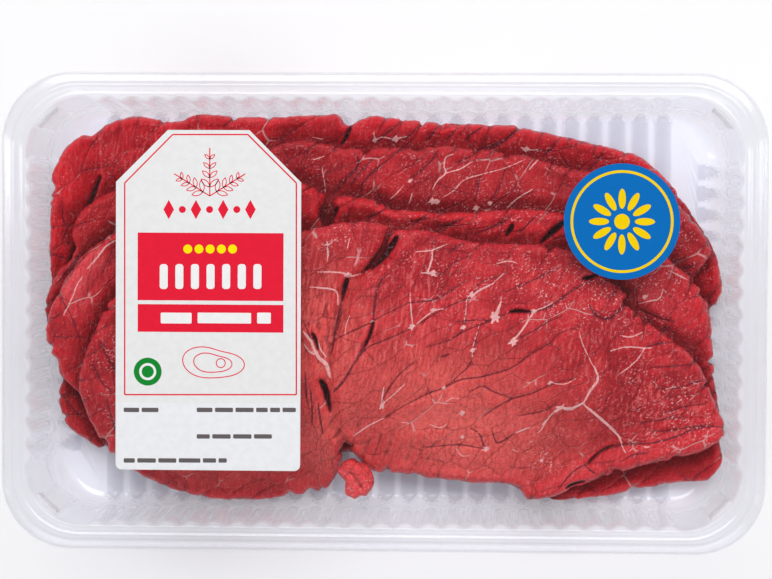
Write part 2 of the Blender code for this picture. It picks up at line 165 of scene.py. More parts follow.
# Waves of unevenness: height and wavelength in millimetres, and a step of the seed
RELIEF_WAVES = ((0.35, 11.0, 20), (0.20, 4.5, 30), (0.09, 1.7, 40))
GAP_WAVES = ((0.16, 1.5, 50), (0.08, 0.8, 55))

# Bundles and fibres: direction in degrees, length and width of a cell in millimetres
LOWER_BUNDLES = (46.0, 14.0, 7.0)
TOP_BUNDLES = (36.0, 12.0, 6.2)
SCRAP_BUNDLES = (60.0, 6.0, 3.0)
FIBRES = (84.0, 3.3, 1.7)
SCRAP_FIBRES = (60.0, 2.0, 1.2)

# Plastic: clear tint, haze tint, haze face on and edge on, roughness and gloss
TRAY_PLASTIC = ((0.962, 0.965, 0.980), (0.93, 0.94, 0.975), 0.10, 0.28, 0.12, 0.035)
FILM_PLASTIC = ((0.990, 0.990, 0.994), (0.9, 0.9, 0.95), 0.005, 0.2, 0.05, 0.012)
# Painted shade in the flutes and painted highlight lines on the tray: the haze each adds, and its
# colour
SHADE_HAZE = 0.20
SHADE_TINT = (0.50, 0.51, 0.58)
GLINT_HAZE = 0.45
GLINT_TINT = (1.0, 1.0, 1.0)
GLOSS_TINT = (0.97, 0.975, 1.0, 1.0)
GLOW_SHARE = 0.6
EDGE_MIRROR = 0.25
EDGE_POWER = 5.0

# Papers and inks
LABEL_PAPER = (0.80, 0.80, 0.805)
LOWER_PAPER = (0.83, 0.835, 0.87)
LABEL_RED = (0.78, 0.013, 0.040)
LABEL_WHITE = (0.86, 0.86, 0.86)
LABEL_YELLOW = (0.95, 0.80, 0.0)
LABEL_GREEN = (0.006, 0.24, 0.03)
LABEL_DARK = (0.13, 0.11, 0.115)
STICKER_BLUE = (0.0, 0.145, 0.480)
STICKER_YELLOW = (0.90, 0.62, 0.0)
PAPER_ROUGHNESS = 0.45
INK_ROUGHNESS = 0.4

# Kinds of beef: deep, fresh and pale colour, strength of the painted highlights on moist specks and
# how dark the painted shade in the net of cracks between bundles is
BEEF = {
    "beef_rear": ((0.42, 0.0026, 0.0100), (0.66, 0.0060, 0.0175), (0.70, 0.044, 0.052),
                  0.85, 0.40),
    "beef_second": ((0.32, 0.0032, 0.0100), (0.48, 0.0070, 0.0155), (0.62, 0.045, 0.050),
                    0.80, 0.35),
    "beef_third": ((0.42, 0.0036, 0.0110), (0.62, 0.0080, 0.0175), (0.72, 0.070, 0.085),
                   0.80, 0.35),
    "beef_top": ((0.40, 0.0075, 0.0175), (0.575, 0.0145, 0.0265), (0.90, 0.142, 0.122),
                 0.95, 0.22),
    "beef_scrap": ((0.62, 0.0200, 0.0300), (0.86, 0.0400, 0.0500), (0.95, 0.130, 0.130),
                   0.95, 0.30),
}
FAT = (0.93, 0.50, 0.49)
# Painted shade in the cracks between bundles
CRACK_SHADE = (0.105, 0.008, 0.024)
# Painted shade in the seams' furrows
SEAM_SHADE = (0.105, 0.006, 0.019)
# Painted shade round the gaps, and painted shadow deep in them
GAP_EDGE_SHADE = (0.110, 0.004, 0.010)
GAP_SHADOW = (0.020, 0.001, 0.003)
# Painted highlight colour of the moist specks
PAINTED_GLINT_SPECK = (0.86, 0.44, 0.45)
WET_TINT = (1.0, 0.45, 0.45, 1.0)
BUMP_HEIGHT = 0.26

# Stage: each light has its name, place and size in metres, and power
FLOOR_HALF = 3000.0
FLOOR_DROP = 0.02
AIM = (0.0, 0.0, 0.0)
LIGHTS = (
    ("key", (0.06, 0.68, 1.15), (1.2, 0.8), 13.0),
    ("front", (0.0, -0.75, 1.10), (1.2, 0.6), 3.5),
    ("left", (-1.0, 0.1, 0.9), (0.12, 0.9), 1.6),
    ("right", (1.1, 0.1, 0.8), (0.12, 0.9), 1.6),
)
SURROUND_FADE = (("From Min", 0.45), ("From Max", 0.95), ("To Min", 0.80), ("To Max", 0.30))
SURROUND_STRENGTH = 0.44
LIGHT_BOUNCES = 7
CLEAR_BOUNCES = 14


# Plain helpers

def new_object(name, points, faces, material, smooth=True):
    """Make a mesh object from points in millimetres."""
    mesh = bpy.data.meshes.new(name)
    mesh.from_pydata(np.asarray(points, dtype=float) * MM, [], faces)
    mesh.validate()
    mesh.materials.append(material)
    if smooth:
        mesh.shade_smooth()
    item = bpy.data.objects.new(name, mesh)
    bpy.context.collection.objects.link(item)
    return item


def store(item, name, values):
    """Keep one number for each vertex."""
    attribute = item.data.attributes.new(name, "FLOAT", "POINT")
    attribute.data.foreach_set("value", np.asarray(values, dtype=np.float32))


def store_vector(item, name, values):
    """Keep one vector for each vertex."""
    attribute = item.data.attributes.new(name, "FLOAT_VECTOR", "POINT")
    attribute.data.foreach_set("vector", np.asarray(values, dtype=np.float32).ravel())


def smooth_step(low, high, value):
    """Rise smoothly from 0 at low to 1 at high."""
    share = np.clip((value - low) / (high - low), 0.0, 1.0)
    return share * share * (3 - 2 * share)


def distance_to_path(points, path):
    """Give each point's distance to an open path."""
    best = np.full(len(points), np.inf)
    for start, end in zip(path[:-1], path[1:]):
        along = end - start
        share = np.clip((points - start) @ along / (along @ along), 0.0, 1.0)
        best = np.minimum(best, np.linalg.norm(points - start - share[:, None] * along, axis=1))
    return best


def smooth_span(before, start, end, after, t):
    """Follow a smooth curve from start, where t is 0, to end, where t is 1."""
    return 0.5 * (2 * start + (end - before) * t
                  + (2 * before - 5 * start + 4 * end - after) * t ** 2
                  + (3 * start - before - 3 * end + after) * t ** 3)


def tangents(loop, reach):
    """Give the direction of a closed outline at each of its points."""
    along = np.roll(loop, -reach, axis=0) - np.roll(loop, reach, axis=0)
    return along / np.linalg.norm(along, axis=1)[:, None]


def plan_tree(points):
    """Make a search tree of points, seen from above."""
    tree = kdtree.KDTree(len(points))
    for index, point in enumerate(points):
        tree.insert((point[0], point[1], 0.0), index)
    tree.balance()
    return tree


def inside_outline(points, outline):
    """Tell which points lie inside a closed outline."""
    inside = np.zeros(len(points), dtype=bool)
    for start, end in zip(outline, np.roll(outline, -1, axis=0)):
        if start[1] == end[1]:
            continue
        crosses = (start[1] > points[:, 1]) != (end[1] > points[:, 1])
        at = start[0] + (points[:, 1] - start[1]) * (end[0] - start[0]) / (end[1] - start[1])
        inside ^= crosses & (points[:, 0] < at)
    return inside


def blur(field, reach, step):
    """Smooth a height field with a Gaussian of that reach."""
    count = int(3 * reach / step) + 1
    offsets = np.arange(-count, count + 1)
    weights = np.exp(-0.5 * (offsets * step / reach) ** 2)
    weights /= weights.sum()
    for axis in (0, 1):
        padding = [(count, count) if a == axis else (0, 0) for a in (0, 1)]
        wide = np.pad(field, padding, mode="edge")
        size = field.shape[axis]
        total = np.zeros_like(field)
        for weight, offset in zip(weights, offsets):
            start = count + offset
            cut = [slice(None), slice(None)]
            cut[axis] = slice(start, start + size)
            total += weight * wide[tuple(cut)]
        field = total
    return field


def lumps(xy, wavelength, seed):
    """Give smooth random unevenness between about -1 and 1."""
    return np.array([
        noise.noise(Vector((x / wavelength, y / wavelength, seed))) for x, y in xy
    ])


def unevenness(xy, waves, seed):
    """Add up waves of random unevenness."""
    total = np.zeros(len(xy))
    for height, wavelength, step in waves:
        total += height * lumps(xy, wavelength, seed + step)
    return total


# Camera and places read off the photograph

def camera_turn():
    """Give the camera's rotation."""
    return Euler([math.radians(angle) for angle in CAMERA_TURN], "XYZ")


def add_camera():
    """Place the camera above the pack."""
    data = bpy.data.cameras.new("camera")
    data.lens = LENS
    data.sensor_width = SENSOR
    camera = bpy.data.objects.new("camera", data)
    camera.location = Vector(CAMERA_PLACE) * MM
    camera.rotation_euler = camera_turn()
    bpy.context.collection.objects.link(camera)
    bpy.context.scene.camera = camera


def spot(px, py, height):
    """Find the place, at a height, that a pixel of the photograph shows."""
    focal = LENS / SENSOR * PHOTO_WIDTH
    ray = Vector(((px - PHOTO_WIDTH / 2) / focal, (PHOTO_HEIGHT / 2 - py) / focal, -1.0))
    ray.rotate(camera_turn())
    share = (height - CAMERA_PLACE[2]) / ray.z
    return CAMERA_PLACE[0] + share * ray.x, CAMERA_PLACE[1] + share * ray.y


# Materials

class Shader:
    """A short way to write a material's nodes."""

    def __init__(self, name):
        self.material = bpy.data.materials.new(name)
        self.material.use_nodes = True
        self.tree = self.material.node_tree
        self.principled = self.tree.nodes["Principled BSDF"]
        self.output = self.tree.nodes["Material Output"]
        self.place = self.node("ShaderNodeTexCoord").outputs["Object"]

    def node(self, kind, **settings):
        """Add a node and set its properties."""
        item = self.tree.nodes.new(kind)
        for name, value in settings.items():
            setattr(item, name, value)
        return item

    def feed(self, socket, value):
        """Link a socket, or set its value."""
        if isinstance(value, bpy.types.NodeSocket):
            self.tree.links.new(value, socket)
        else:
            socket.default_value = value

    def math(self, operation, first, second=0.0, third=0.0, clamp=False):
        """Do one sum."""
        item = self.node("ShaderNodeMath", operation=operation, use_clamp=clamp)
        for socket, value in zip(item.inputs, (first, second, third)):
            self.feed(socket, value)
        return item.outputs[0]

    def fade(self, value, start, end, low=0.0, high=1.0):
        """Go smoothly from low at start to high at end."""
        item = self.node("ShaderNodeMapRange", interpolation_type="SMOOTHSTEP")
        self.feed(item.inputs["From Min"], start)
        self.feed(item.inputs["From Max"], end)
        self.feed(item.inputs["To Min"], low)
        self.feed(item.inputs["To Max"], high)
        self.feed(item.inputs["Value"], value)
        return item.outputs["Result"]

    def noise(self, size, detail=2.0, vector=None, roughness=0.5):
        """Read noise whose features are size millimetres across."""
        item = self.node("ShaderNodeTexNoise")
        item.inputs["Scale"].default_value = 1.0 / (size * MM)
        item.inputs["Detail"].default_value = detail
        item.inputs["Roughness"].default_value = roughness
        self.feed(item.inputs["Vector"], self.place if vector is None else vector)
        return item.outputs["Fac"]

    def cells(self, vector, feature="DISTANCE_TO_EDGE"):
        """Read a flat net of cells in a vector's own units."""
        item = self.node("ShaderNodeTexVoronoi", feature=feature, voronoi_dimensions="2D")
        item.inputs["Scale"].default_value = 1.0
        item.inputs["Randomness"].default_value = CELL_RANDOMNESS
        self.feed(item.inputs["Vector"], vector)
        return item.outputs["Distance"]

    def stretched(self, angle, along, across):
        """Turn and stretch the place that a texture reads."""
        item = self.node("ShaderNodeMapping", vector_type="TEXTURE")
        item.inputs["Rotation"].default_value = (0.0, 0.0, math.radians(angle))
        item.inputs["Scale"].default_value = (along, across, 1.0)
        self.feed(item.inputs["Vector"], self.place)
        return item.outputs["Vector"]

    def stored(self, name, output="Fac"):
        """Read a number, or a vector, kept for each vertex."""
        return self.node("ShaderNodeAttribute", attribute_name=name).outputs[output]

    def mix(self, share, first, second):
        """Mix two colours."""
        item = self.node("ShaderNodeMix", data_type="RGBA")
        self.feed(item.inputs["Factor"], share)
        for socket, value in ((item.inputs[6], first), (item.inputs[7], second)):
            self.feed(socket, value if isinstance(value, bpy.types.NodeSocket) else (*value, 1.0))
        return item.outputs[2]

    def blend(self, share, first, second):
        """Mix two shaders."""
        item = self.node("ShaderNodeMixShader")
        for socket, value in zip(item.inputs, (share, first, second)):
            self.feed(socket, value)
        return item.outputs[0]

    def bump(self, height, distance, strength):
        """Turn a height between 0 and 1 into relief of distance millimetres."""
        item = self.node("ShaderNodeBump")
        item.inputs["Distance"].default_value = distance * MM
        item.inputs["Strength"].default_value = strength
        self.feed(item.inputs["Height"], height)
        return item.outputs["Normal"]

    def set(self, **inputs):
        """Set or link the Principled shader's inputs, their names with underscores."""
        for name, value in inputs.items():
            self.feed(self.principled.inputs[name.replace("_", " ")], value)


def scaled(colour, share, lift=0.0):
    """Darken or lighten a colour."""
    return tuple(min(1.0, channel * share + lift) for channel in colour)


def flesh_colour(shader, patches, grain, deep, fresh, pale):
    """Give the muscle's colour, with a painted highlight of fresher red along the rim and on
    ridges, and painted shade in its hollows and where other slices lie on it.
    """
    colour = shader.mix(shader.fade(patches, 0.36, 0.66), deep, fresh)
    colour = shader.mix(shader.stored("pale"), colour, pale)
    # Painted highlight: fresher, brighter red near each slice's edge
    rim = shader.fade(shader.stored("rim"), 2.6, 0.3, 0.0, 0.65)
    colour = shader.mix(rim, colour, scaled(fresh, 1.2))
    # Painted shade where other slices lie on this one, and on the lower face
    colour = shader.mix(shader.stored("shade"), colour, scaled(deep, 0.40))
    colour = shader.mix(shader.fade(grain, 0.50, 0.34, 0.0, 0.35), colour, scaled(deep, 0.60))
    # Painted shade in the relief's hollows and a painted highlight on its ridges
    cavity = shader.stored("cavity")
    colour = shader.mix(shader.fade(cavity, 0.03, 0.28, 0.0, 0.62), colour, scaled(deep, 0.35))
    return shader.mix(shader.fade(cavity, -0.02, -0.18, 0.0, 0.35), colour, scaled(fresh, 1.3))


def add_fibres(shader, colour, fibre_line, patches, deep, pale):
    """Draw the fine fibres, dark in some patches and pale in others."""
    dark = shader.math("MULTIPLY", fibre_line, shader.fade(patches, 0.64, 0.40, 0.08, 0.26))
    light = shader.math("MULTIPLY", fibre_line, shader.fade(patches, 0.44, 0.64, 0.0, 0.20))
    colour = shader.mix(dark, colour, scaled(deep, 0.40))
    return shader.mix(light, colour, scaled(pale, 1.25, 0.04))


def add_ripples(shader, colour, ripple, ripple_share, deep, pale):
    """Draw the ripples that run across the fibres, as painted shade in their troughs and painted
    highlights on their crests.
    """
    dark = shader.math("MULTIPLY", shader.fade(ripple, 0.50, 0.36, 0.0, 0.60), ripple_share)
    light = shader.math("MULTIPLY", shader.fade(ripple, 0.54, 0.68, 0.0, 0.36), ripple_share)
    colour = shader.mix(dark, colour, scaled(deep, 0.50))
    return shader.mix(light, colour, scaled(pale, 1.3, 0.08))


def add_net(shader, colour, bundle, thin, patches, crack_shade_strength):
    """Draw painted shade in the net of cracks between the bundles, and the fat in its knots."""
    middle = shader.cells(shader.stored("bundle", "Vector"), "F1")
    crack_shade_share = shader.math("MULTIPLY", thin, shader.fade(patches, 0.60, 0.44, 0.10, crack_shade_strength))
    colour = shader.mix(crack_shade_share, colour, CRACK_SHADE)
    knot = shader.math("MULTIPLY", shader.fade(middle, 0.66, 0.76),
                       shader.fade(bundle, 0.04, 0.01, 0.0, 0.55))
    knot = shader.math("MULTIPLY", knot, shader.fade(patches, 0.48, 0.56))
    return shader.mix(knot, colour, FAT)


def add_lines(shader, colour, grain):
    """Draw the fat veins, with painted shade in the seams and painted shadow in the open gaps, all
    with ragged edges.
    """
    seam = shader.math("MULTIPLY_ADD", grain, 0.2, shader.stored("seam"))
    # Painted shade along the seams
    colour = shader.mix(shader.fade(seam, 0.26, 0.02, 0.0, 0.85), colour, SEAM_SHADE)
    ragged = shader.math("MULTIPLY_ADD", grain, 0.9, -0.45)
    vein = shader.math("MULTIPLY_ADD", ragged, 0.8, shader.stored("vein"))
    fat_tone = shader.mix(shader.fade(grain, 0.40, 0.60), scaled(FAT, 0.86), FAT)
    colour = shader.mix(shader.fade(vein, 0.08, -0.10, 0.0, 0.95), colour, fat_tone)
    gap = shader.math("MULTIPLY_ADD", ragged, 0.25, shader.stored("gap"))
    # Painted shade round the gaps and painted shadow deep in them
    colour = shader.mix(shader.fade(gap, 0.45, 0.0, 0.0, 0.60), colour, GAP_EDGE_SHADE)
    return shader.mix(shader.fade(gap, 0.06, -0.30), colour, GAP_SHADOW)


def add_painted_glints(shader, colour, speck, glint_strength):
    """Paint small bright specks as highlights of a moist surface, in clusters."""
    clusters = shader.fade(shader.noise(3.6, 2.0), 0.42, 0.60, 0.25, 1.15)
    share = shader.math("MULTIPLY", shader.fade(speck, 0.56, 0.68, 0.0, glint_strength),
                        shader.stored("wet"))
    share = shader.math("MULTIPLY", share, clusters, clamp=True)
    return shader.mix(share, colour, PAINTED_GLINT_SPECK)


def meat_material(name, deep, fresh, pale, glint_strength, crack_shade_strength):
    """Moist raw beef: bundles, fine fibres, pale marbling, painted shade in cracks, seams and gaps,
    and painted highlights on moist specks, ripples, ridges and rims.
    """
    shader = Shader(name)
    bundle = shader.cells(shader.stored("bundle", "Vector"))
    thin = shader.fade(bundle, 0.040, 0.006)
    fibre_line = shader.fade(shader.cells(shader.stored("fibre", "Vector")), 0.11, 0.02)
    patches = shader.noise(13.0, 2.0)
    grain = shader.noise(0.75, 3.0, roughness=0.7)
    speck = shader.noise(0.62, 1.5, shader.stretched(*SPECK_STRETCH), 0.6)
    ripple = shader.noise(1.0, 1.5, shader.stretched(*RIPPLE_STRETCH), 0.55)
    ripple_share = shader.stored("ripple")

    colour = flesh_colour(shader, patches, grain, deep, fresh, pale)
    colour = add_fibres(shader, colour, fibre_line, patches, deep, pale)
    colour = add_ripples(shader, colour, ripple, ripple_share, deep, pale)
    colour = add_net(shader, colour, bundle, thin, patches, crack_shade_strength)
    colour = add_lines(shader, colour, grain)
    colour = add_painted_glints(shader, colour, speck, glint_strength)

    relief = shader.math("MULTIPLY_ADD", thin, -0.8, grain)
    relief = shader.math("MULTIPLY_ADD", fibre_line, -0.35, relief)
    relief = shader.math("ADD", relief, shader.math("MULTIPLY", ripple, ripple_share))
    normal = shader.bump(relief, BUMP_HEIGHT, 0.9)
    roughness = shader.fade(speck, 0.42, 0.60, 0.46, 0.20)
    shader.set(Base_Color=colour, Roughness=roughness, IOR=1.36, Normal=normal)
    shader.principled.inputs["Specular Tint"].default_value = WET_TINT
    return shader.material


def clear_material(name, clear_tint, haze_tint, haze, edge_haze, roughness, gloss_share):
    """Clear thin plastic: see-through face on, hazier edge on, with a soft mirror gloss, painted
    shade in the flutes and painted highlight lines.
    """
    shader = Shader(name)
    facing = shader.node("ShaderNodeLayerWeight")
    facing.inputs["Blend"].default_value = 0.5
    cover = shader.fade(facing.outputs["Facing"], 0.10, 0.95, haze, edge_haze)
    # Painted shade greys the haze in the flutes, and painted highlights whiten it along their
    # outlines and on the lugs
    painted_flute_shade, glint = shader.stored("painted_flute_shade"), shader.stored("glint")
    cover = shader.math("MULTIPLY_ADD", painted_flute_shade, SHADE_HAZE, cover)
    cover = shader.math("MULTIPLY_ADD", glint, GLINT_HAZE, cover, clamp=True)
    colour = shader.mix(painted_flute_shade, haze_tint, SHADE_TINT)
    colour = shader.mix(glint, colour, GLINT_TINT)
    shader.set(Base_Color=colour, Roughness=0.35, IOR=1.5)
    glow = shader.node("ShaderNodeBsdfTranslucent")
    shader.feed(glow.inputs["Color"], colour)
    clear = shader.node("ShaderNodeBsdfTransparent")
    clear.inputs["Color"].default_value = (*clear_tint, 1.0)
    gloss = shader.node("ShaderNodeBsdfGlossy")
    gloss.inputs["Roughness"].default_value = roughness
    gloss.inputs["Color"].default_value = GLOSS_TINT
    edge = shader.math("POWER", facing.outputs["Facing"], EDGE_POWER)
    mirror = shader.math("MULTIPLY_ADD", edge, EDGE_MIRROR, gloss_share)
    haze_mix = shader.blend(GLOW_SHARE, shader.principled.outputs[0], glow.outputs[0])
    body = shader.blend(cover, clear.outputs[0], haze_mix)
    whole = shader.blend(mirror, body, gloss.outputs[0])
    rays = shader.node("ShaderNodeLightPath")
    shader.feed(shader.output.inputs["Surface"],
                shader.blend(rays.outputs["Is Shadow Ray"], whole, clear.outputs[0]))
    return shader.material


def paper_material(name, colour, roughness=PAPER_ROUGHNESS):
    """Coated printed paper with a faint mottle and grain."""
    shader = Shader(name)
    mottle = shader.fade(shader.noise(2.2, 3.0), 0.3, 0.7)
    mixed = shader.mix(mottle, tuple(channel * 0.955 for channel in colour), colour)
    fine = shader.bump(shader.noise(0.35, 2.0), 0.01, 0.5)
    shader.set(Base_Color=mixed, Roughness=roughness, Normal=fine, IOR=1.33)
    tint = tuple(0.3 + 0.7 * channel for channel in colour)
    shader.principled.inputs["Specular Tint"].default_value = (*tint, 1.0)
    return shader.material


# Tray

def corner_radius(inset):
    """Give the tray's corner radius at a distance in from its outer edge."""
    if inset <= FLANGE_WIDTH:
        return OUTER_CORNER + (FLANGE_CORNER - OUTER_CORNER) * inset / FLANGE_WIDTH
    return FLANGE_CORNER - CORNER_SHRINK * (inset - FLANGE_WIDTH)


def tray_stations():
    """List the columns round the tray as (quarter turn, along, wave, endness, lug)."""
    stations = []
    for turn in range(4):
        endness = 1.0 - turn % 2
        flutes = FLUTES_ON_END if endness else FLUTES_ON_SIDE
        for column in range(flutes * COLUMNS_PER_FLUTE):
            phase = (column + 0.5) / COLUMNS_PER_FLUTE
            wave = math.sin(math.pi * (phase % 1.0)) ** CREST_SHARPNESS
            stations.append((turn, 2.0 * phase / flutes - 1.0, wave, endness, 0.0))
        for step in range(CORNER_STEPS + 1):
            share = step / CORNER_STEPS
            lug = 1.0 if abs(share - 0.5) < LUG_HALF_SHARE else 0.0
            stations.append((turn, 2.0 + share, 0.0, endness + (1 - 2 * endness) * share, lug))
    return stations


def ring_point(station, inset):
    """Place a station on the rounded rectangle that lies inset from the outer edge."""
    turn, along = station[0], station[1]
    radius = corner_radius(inset)
    half = (TRAY_LENGTH / 2 - inset, TRAY_WIDTH / 2 - inset)
    if turn % 2:
        half = (half[1], half[0])
    reach = half[1] - radius
    point = (half[0], along * reach)
    if along > 1.0:
        angle = (along - 2.0) * math.pi / 2
        point = (half[0] - radius + radius * math.cos(angle), reach + radius * math.sin(angle))
    for _ in range(turn):
        point = (-point[1], point[0])
    return point


def tray_levels():
    """List the rings from the lip to the floor: (kind, inset, drop or angle, wave share)."""
    flange = [
        (0.0, 2.6), (0.1, 1.9), (0.45, 1.25), (1.0, 1.0), (2.5, 0.95), (2.9, 0.8), (3.2, 0.3),
        (3.5, 0.05), (4.0, 0.0), (5.2, 0.0), (5.3, 0.12), (5.6, 0.12), (5.7, 0.0), (7.0, 0.0),
        (7.4, 0.05),
    ]
    levels = [("flange", inset, drop, 0.0) for inset, drop in flange]
    levels += [("flange", 7.6, 0.3, 0.15), ("flange", 7.7, 0.9, 0.75), ("flange", 7.8, 1.6, 1.0)]
    levels += [("wall", 0.0, share, 1.0) for share in (0.0, 0.12, 0.2, 0.35, 0.6, 0.85)]
    levels += [("fillet", 0.0, angle, 1.0) for angle in range(0, 91, 10)]
    return levels


def tray_point(station, level):
    """Place a station on one ring."""
    kind, inset, value, share = level
    _, _, wave, endness, lug = station
    fillet = SIDE_FILLET + (END_FILLET - SIDE_FILLET) * endness
    crest = FLUTE_DEPTH * wave * share
    base = FLANGE_WIDTH + WALL_DRAFT
    if kind == "flange":
        return (*ring_point(station, inset + crest), TRAY_HEIGHT - value)
    if kind == "wall":
        top = TRAY_HEIGHT - LAND_DROP
        low = TRAY_WALL + fillet
        height = top + (low - top) * value
        inset = FLANGE_WIDTH + SHOULDER + (WALL_DRAFT - SHOULDER) * value
        raised = LUG_DEPTH * lug if value < LUG_FOOT else 0.0
        return (*ring_point(station, inset + crest + raised), height)
    angle = math.radians(value)
    end_fade = 1.0 - endness * smooth_step(60.0, 90.0, value)
    inset = base + fillet * (1 - math.cos(angle)) + crest * math.cos(angle) * end_fade
    rib = RIB_HEIGHT * wave * (1 - endness) * math.sin(angle)
    foot = FOOT_RISE * wave * endness * math.sin(math.pi * min(value / FOOT_ANGLE, 1.0))
    height = TRAY_WALL + fillet * (1 - math.sin(angle)) + rib + foot
    return (*ring_point(station, inset), height)


def flute_marks(station, level):
    """Say how much painted shade a place gets in a flute's round-ended foot, and how much painted
    highlight on its outline, the wall's streaks and the lugs.
    """
    kind, _, value, _ = level
    wave, lug = station[2], station[4]
    if kind == "fillet":
        past = smooth_step(0.0, ARCH_SOFTNESS, value - (ARCH_TOP - ARCH_SWEEP * wave))
        inside = past * smooth_step(*ARCH_EDGES, wave)
        glint = ARCH_GLINT * inside * (1 - inside) + FILLET_GLINT * (1 - inside)
        return ARCH_SHADE * inside, glint
    if kind == "wall":
        line = math.exp(-((wave - WALL_GLINT_PLACE) / WALL_GLINT_WIDTH) ** 2)
        return WALL_SHADE * wave * value, WALL_GLINT * line * value + LUG_GLINT * lug
    return 0.0, 0.0


def tray_faces(stations, rings):
    """Join the rings of stations into walls, and close the floor across the last ring."""
    columns = len(stations)
    faces = []
    for ring in range(rings - 1):
        for column in range(columns):
            after = (column + 1) % columns
            low, high = ring * columns, (ring + 1) * columns
            faces.append((low + column, low + after, high + after, high + column))
    start = (rings - 1) * columns
    rear = [i for i, s in enumerate(stations) if s[0] == 1 and s[1] <= 1.0]
    front = [i for i, s in enumerate(stations) if s[0] == 3 and s[1] <= 1.0]
    front.reverse()
    for step in range(len(rear) - 1):
        faces.append(tuple(start + i for i in (
            rear[step], rear[step + 1], front[step + 1], front[step])))
    right = [(front[0] + i) % columns for i in range((rear[0] - front[0]) % columns + 1)]
    left = [(rear[-1] + i) % columns for i in range((front[-1] - rear[-1]) % columns + 1)]
    faces.append(tuple(start + i for i in right))
    faces.append(tuple(start + i for i in left))
    return faces


def make_tray(material):
    """Make the formed sheet, with its lip, sealing land, flutes, lugs and ribs."""
    stations = tray_stations()
    levels = tray_levels()
    points = [tray_point(station, level) for level in levels for station in stations]
    faces = tray_faces(stations, len(levels))
    tray = new_object("tray_sheet", points, faces, material)
    # Painted shade and painted highlight amounts for the flutes and lugs
    marks = np.array([flute_marks(station, level) for level in levels for station in stations])
    store(tray, "painted_flute_shade", marks[:, 0])
    store(tray, "glint", marks[:, 1])
    sheet = tray.modifiers.new("sheet", "SOLIDIFY")
    sheet.thickness = TRAY_WALL * MM
    sheet.offset = -1.0
    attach(tray, "root")
    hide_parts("tray")


# Film

def make_film(material):
    """Make the thin lid film, sealed down on the flange and gently uneven between."""
    stations = [s for s in tray_stations() if s[1] >= 2.0]
    count = len(stations)
    points = []
    for ring in range(FILM_RINGS):
        share = ring / FILM_RINGS
        for station in stations:
            x, y = ring_point(station, FILM_MARGIN)
            points.append((x * (1 - share), y * (1 - share), 0.0))
    flat = np.array(points)
    inset = np.minimum(TRAY_LENGTH / 2 - np.abs(flat[:, 0]), TRAY_WIDTH / 2 - np.abs(flat[:, 1]))
    swell = FILM_RISE + FILM_WAVE * lumps(flat[:, :2], FILM_WAVELENGTH, 2.2)
    flat[:, 2] = TRAY_HEIGHT + FILM_GAP + smooth_step(FILM_HELD, FILM_FREE, inset) * swell
    faces = []
    for ring in range(FILM_RINGS - 1):
        near, far = ring * count, (ring + 1) * count
        for column in range(count):
            after = (column + 1) % count
            faces.append((near + column, near + after, far + after, far + column))
    faces.append(tuple((FILM_RINGS - 1) * count + i for i in range(count)))
    film = new_object("film_sheet", flat, faces, material)
    sheet = film.modifiers.new("sheet", "SOLIDIFY")
    sheet.thickness = FILM_THICKNESS * MM
    sheet.offset = 1.0
    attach(film, "root")
    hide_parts("lid_film")


# Flat printed pieces

def arc(centre, radius, start, stop, steps):
    """List points on an arc, its angles in degrees."""
    angles = [math.radians(start + (stop - start) * i / steps) for i in range(steps + 1)]
    return [(centre[0] + radius * math.cos(a), centre[1] + radius * math.sin(a)) for a in angles]


def disc(centre, radius, steps=48):
    """List a full circle's points."""
    return arc(centre, radius, 0, 360, steps)[:-1]


def bar(left, right, low, high, corner=0.0):
    """List a rectangle's points, its corners rounded if asked."""
    if corner <= 0.0:
        return [(left, low), (right, low), (right, high), (left, high)]
    outline = arc((left + corner, low + corner), corner, 180, 270, 5)
    outline += arc((right - corner, low + corner), corner, 270, 360, 5)
    outline += arc((right - corner, high - corner), corner, 0, 90, 5)
    outline += arc((left + corner, high - corner), corner, 90, 180, 5)
    return outline


def stroke(path, width):
    """Give the outline of a line of even width along an open path."""
    path = np.array(path, dtype=float)
    ahead = np.vstack([path[1:] - path[:-1], path[-1:] - path[-2:-1]])
    behind = np.vstack([path[1:2] - path[:1], path[1:] - path[:-1]])
    ahead /= np.linalg.norm(ahead, axis=1)[:, None]
    behind /= np.linalg.norm(behind, axis=1)[:, None]
    along = ahead + behind
    along /= np.linalg.norm(along, axis=1)[:, None]
    side = np.stack([-along[:, 1], along[:, 0]], axis=1)
    widen = width / 2 / np.maximum(0.4, np.sum(along * ahead, axis=1))
    left, right = path + side * widen[:, None], path - side * widen[:, None]
    return [tuple(p) for p in right] + [tuple(p) for p in left[::-1]]


def make_print(name, outlines, low, thickness, material, node=None):
    """Make flat pieces of one ink or paper from their anticlockwise outlines."""
    points, faces = [], []
    for outline in outlines:
        start, count = len(points), len(outline)
        points += [(x, y, low) for x, y in outline]
        points += [(x, y, low + thickness) for x, y in outline]
        faces.append(tuple(start + i for i in reversed(range(count))))
        faces.append(tuple(start + count + i for i in range(count)))
        for step in range(count):
            after = (step + 1) % count
            faces.append((start + step, start + after, start + count + after,
                          start + count + step))
    item = new_object(name, points, faces, material, smooth=False)
    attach(item, "root")
    if node:
        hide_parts(node)
    return item


def label_outline(inset=0.0):
    """Give the label's outline: chamfered rear corners and small round front corners."""
    left, right = LABEL_LEFT + inset, LABEL_RIGHT - inset
    front, rear = LABEL_FRONT + inset, LABEL_REAR - inset
    cut = LABEL_CHAMFER - inset * 0.586
    outline = arc((left + LABEL_CORNER, front + LABEL_CORNER), LABEL_CORNER, 180, 270, 6)
    outline += arc((right - LABEL_CORNER, front + LABEL_CORNER), LABEL_CORNER, 270, 360, 6)
    return outline + [(right, rear - cut), (right - cut, rear), (left + cut, rear),
                      (left, rear - cut)]


def label_spot(px, py):
    """Turn a pixel of the photograph into a place on the label."""
    return spot(px, py, TRAY_HEIGHT)


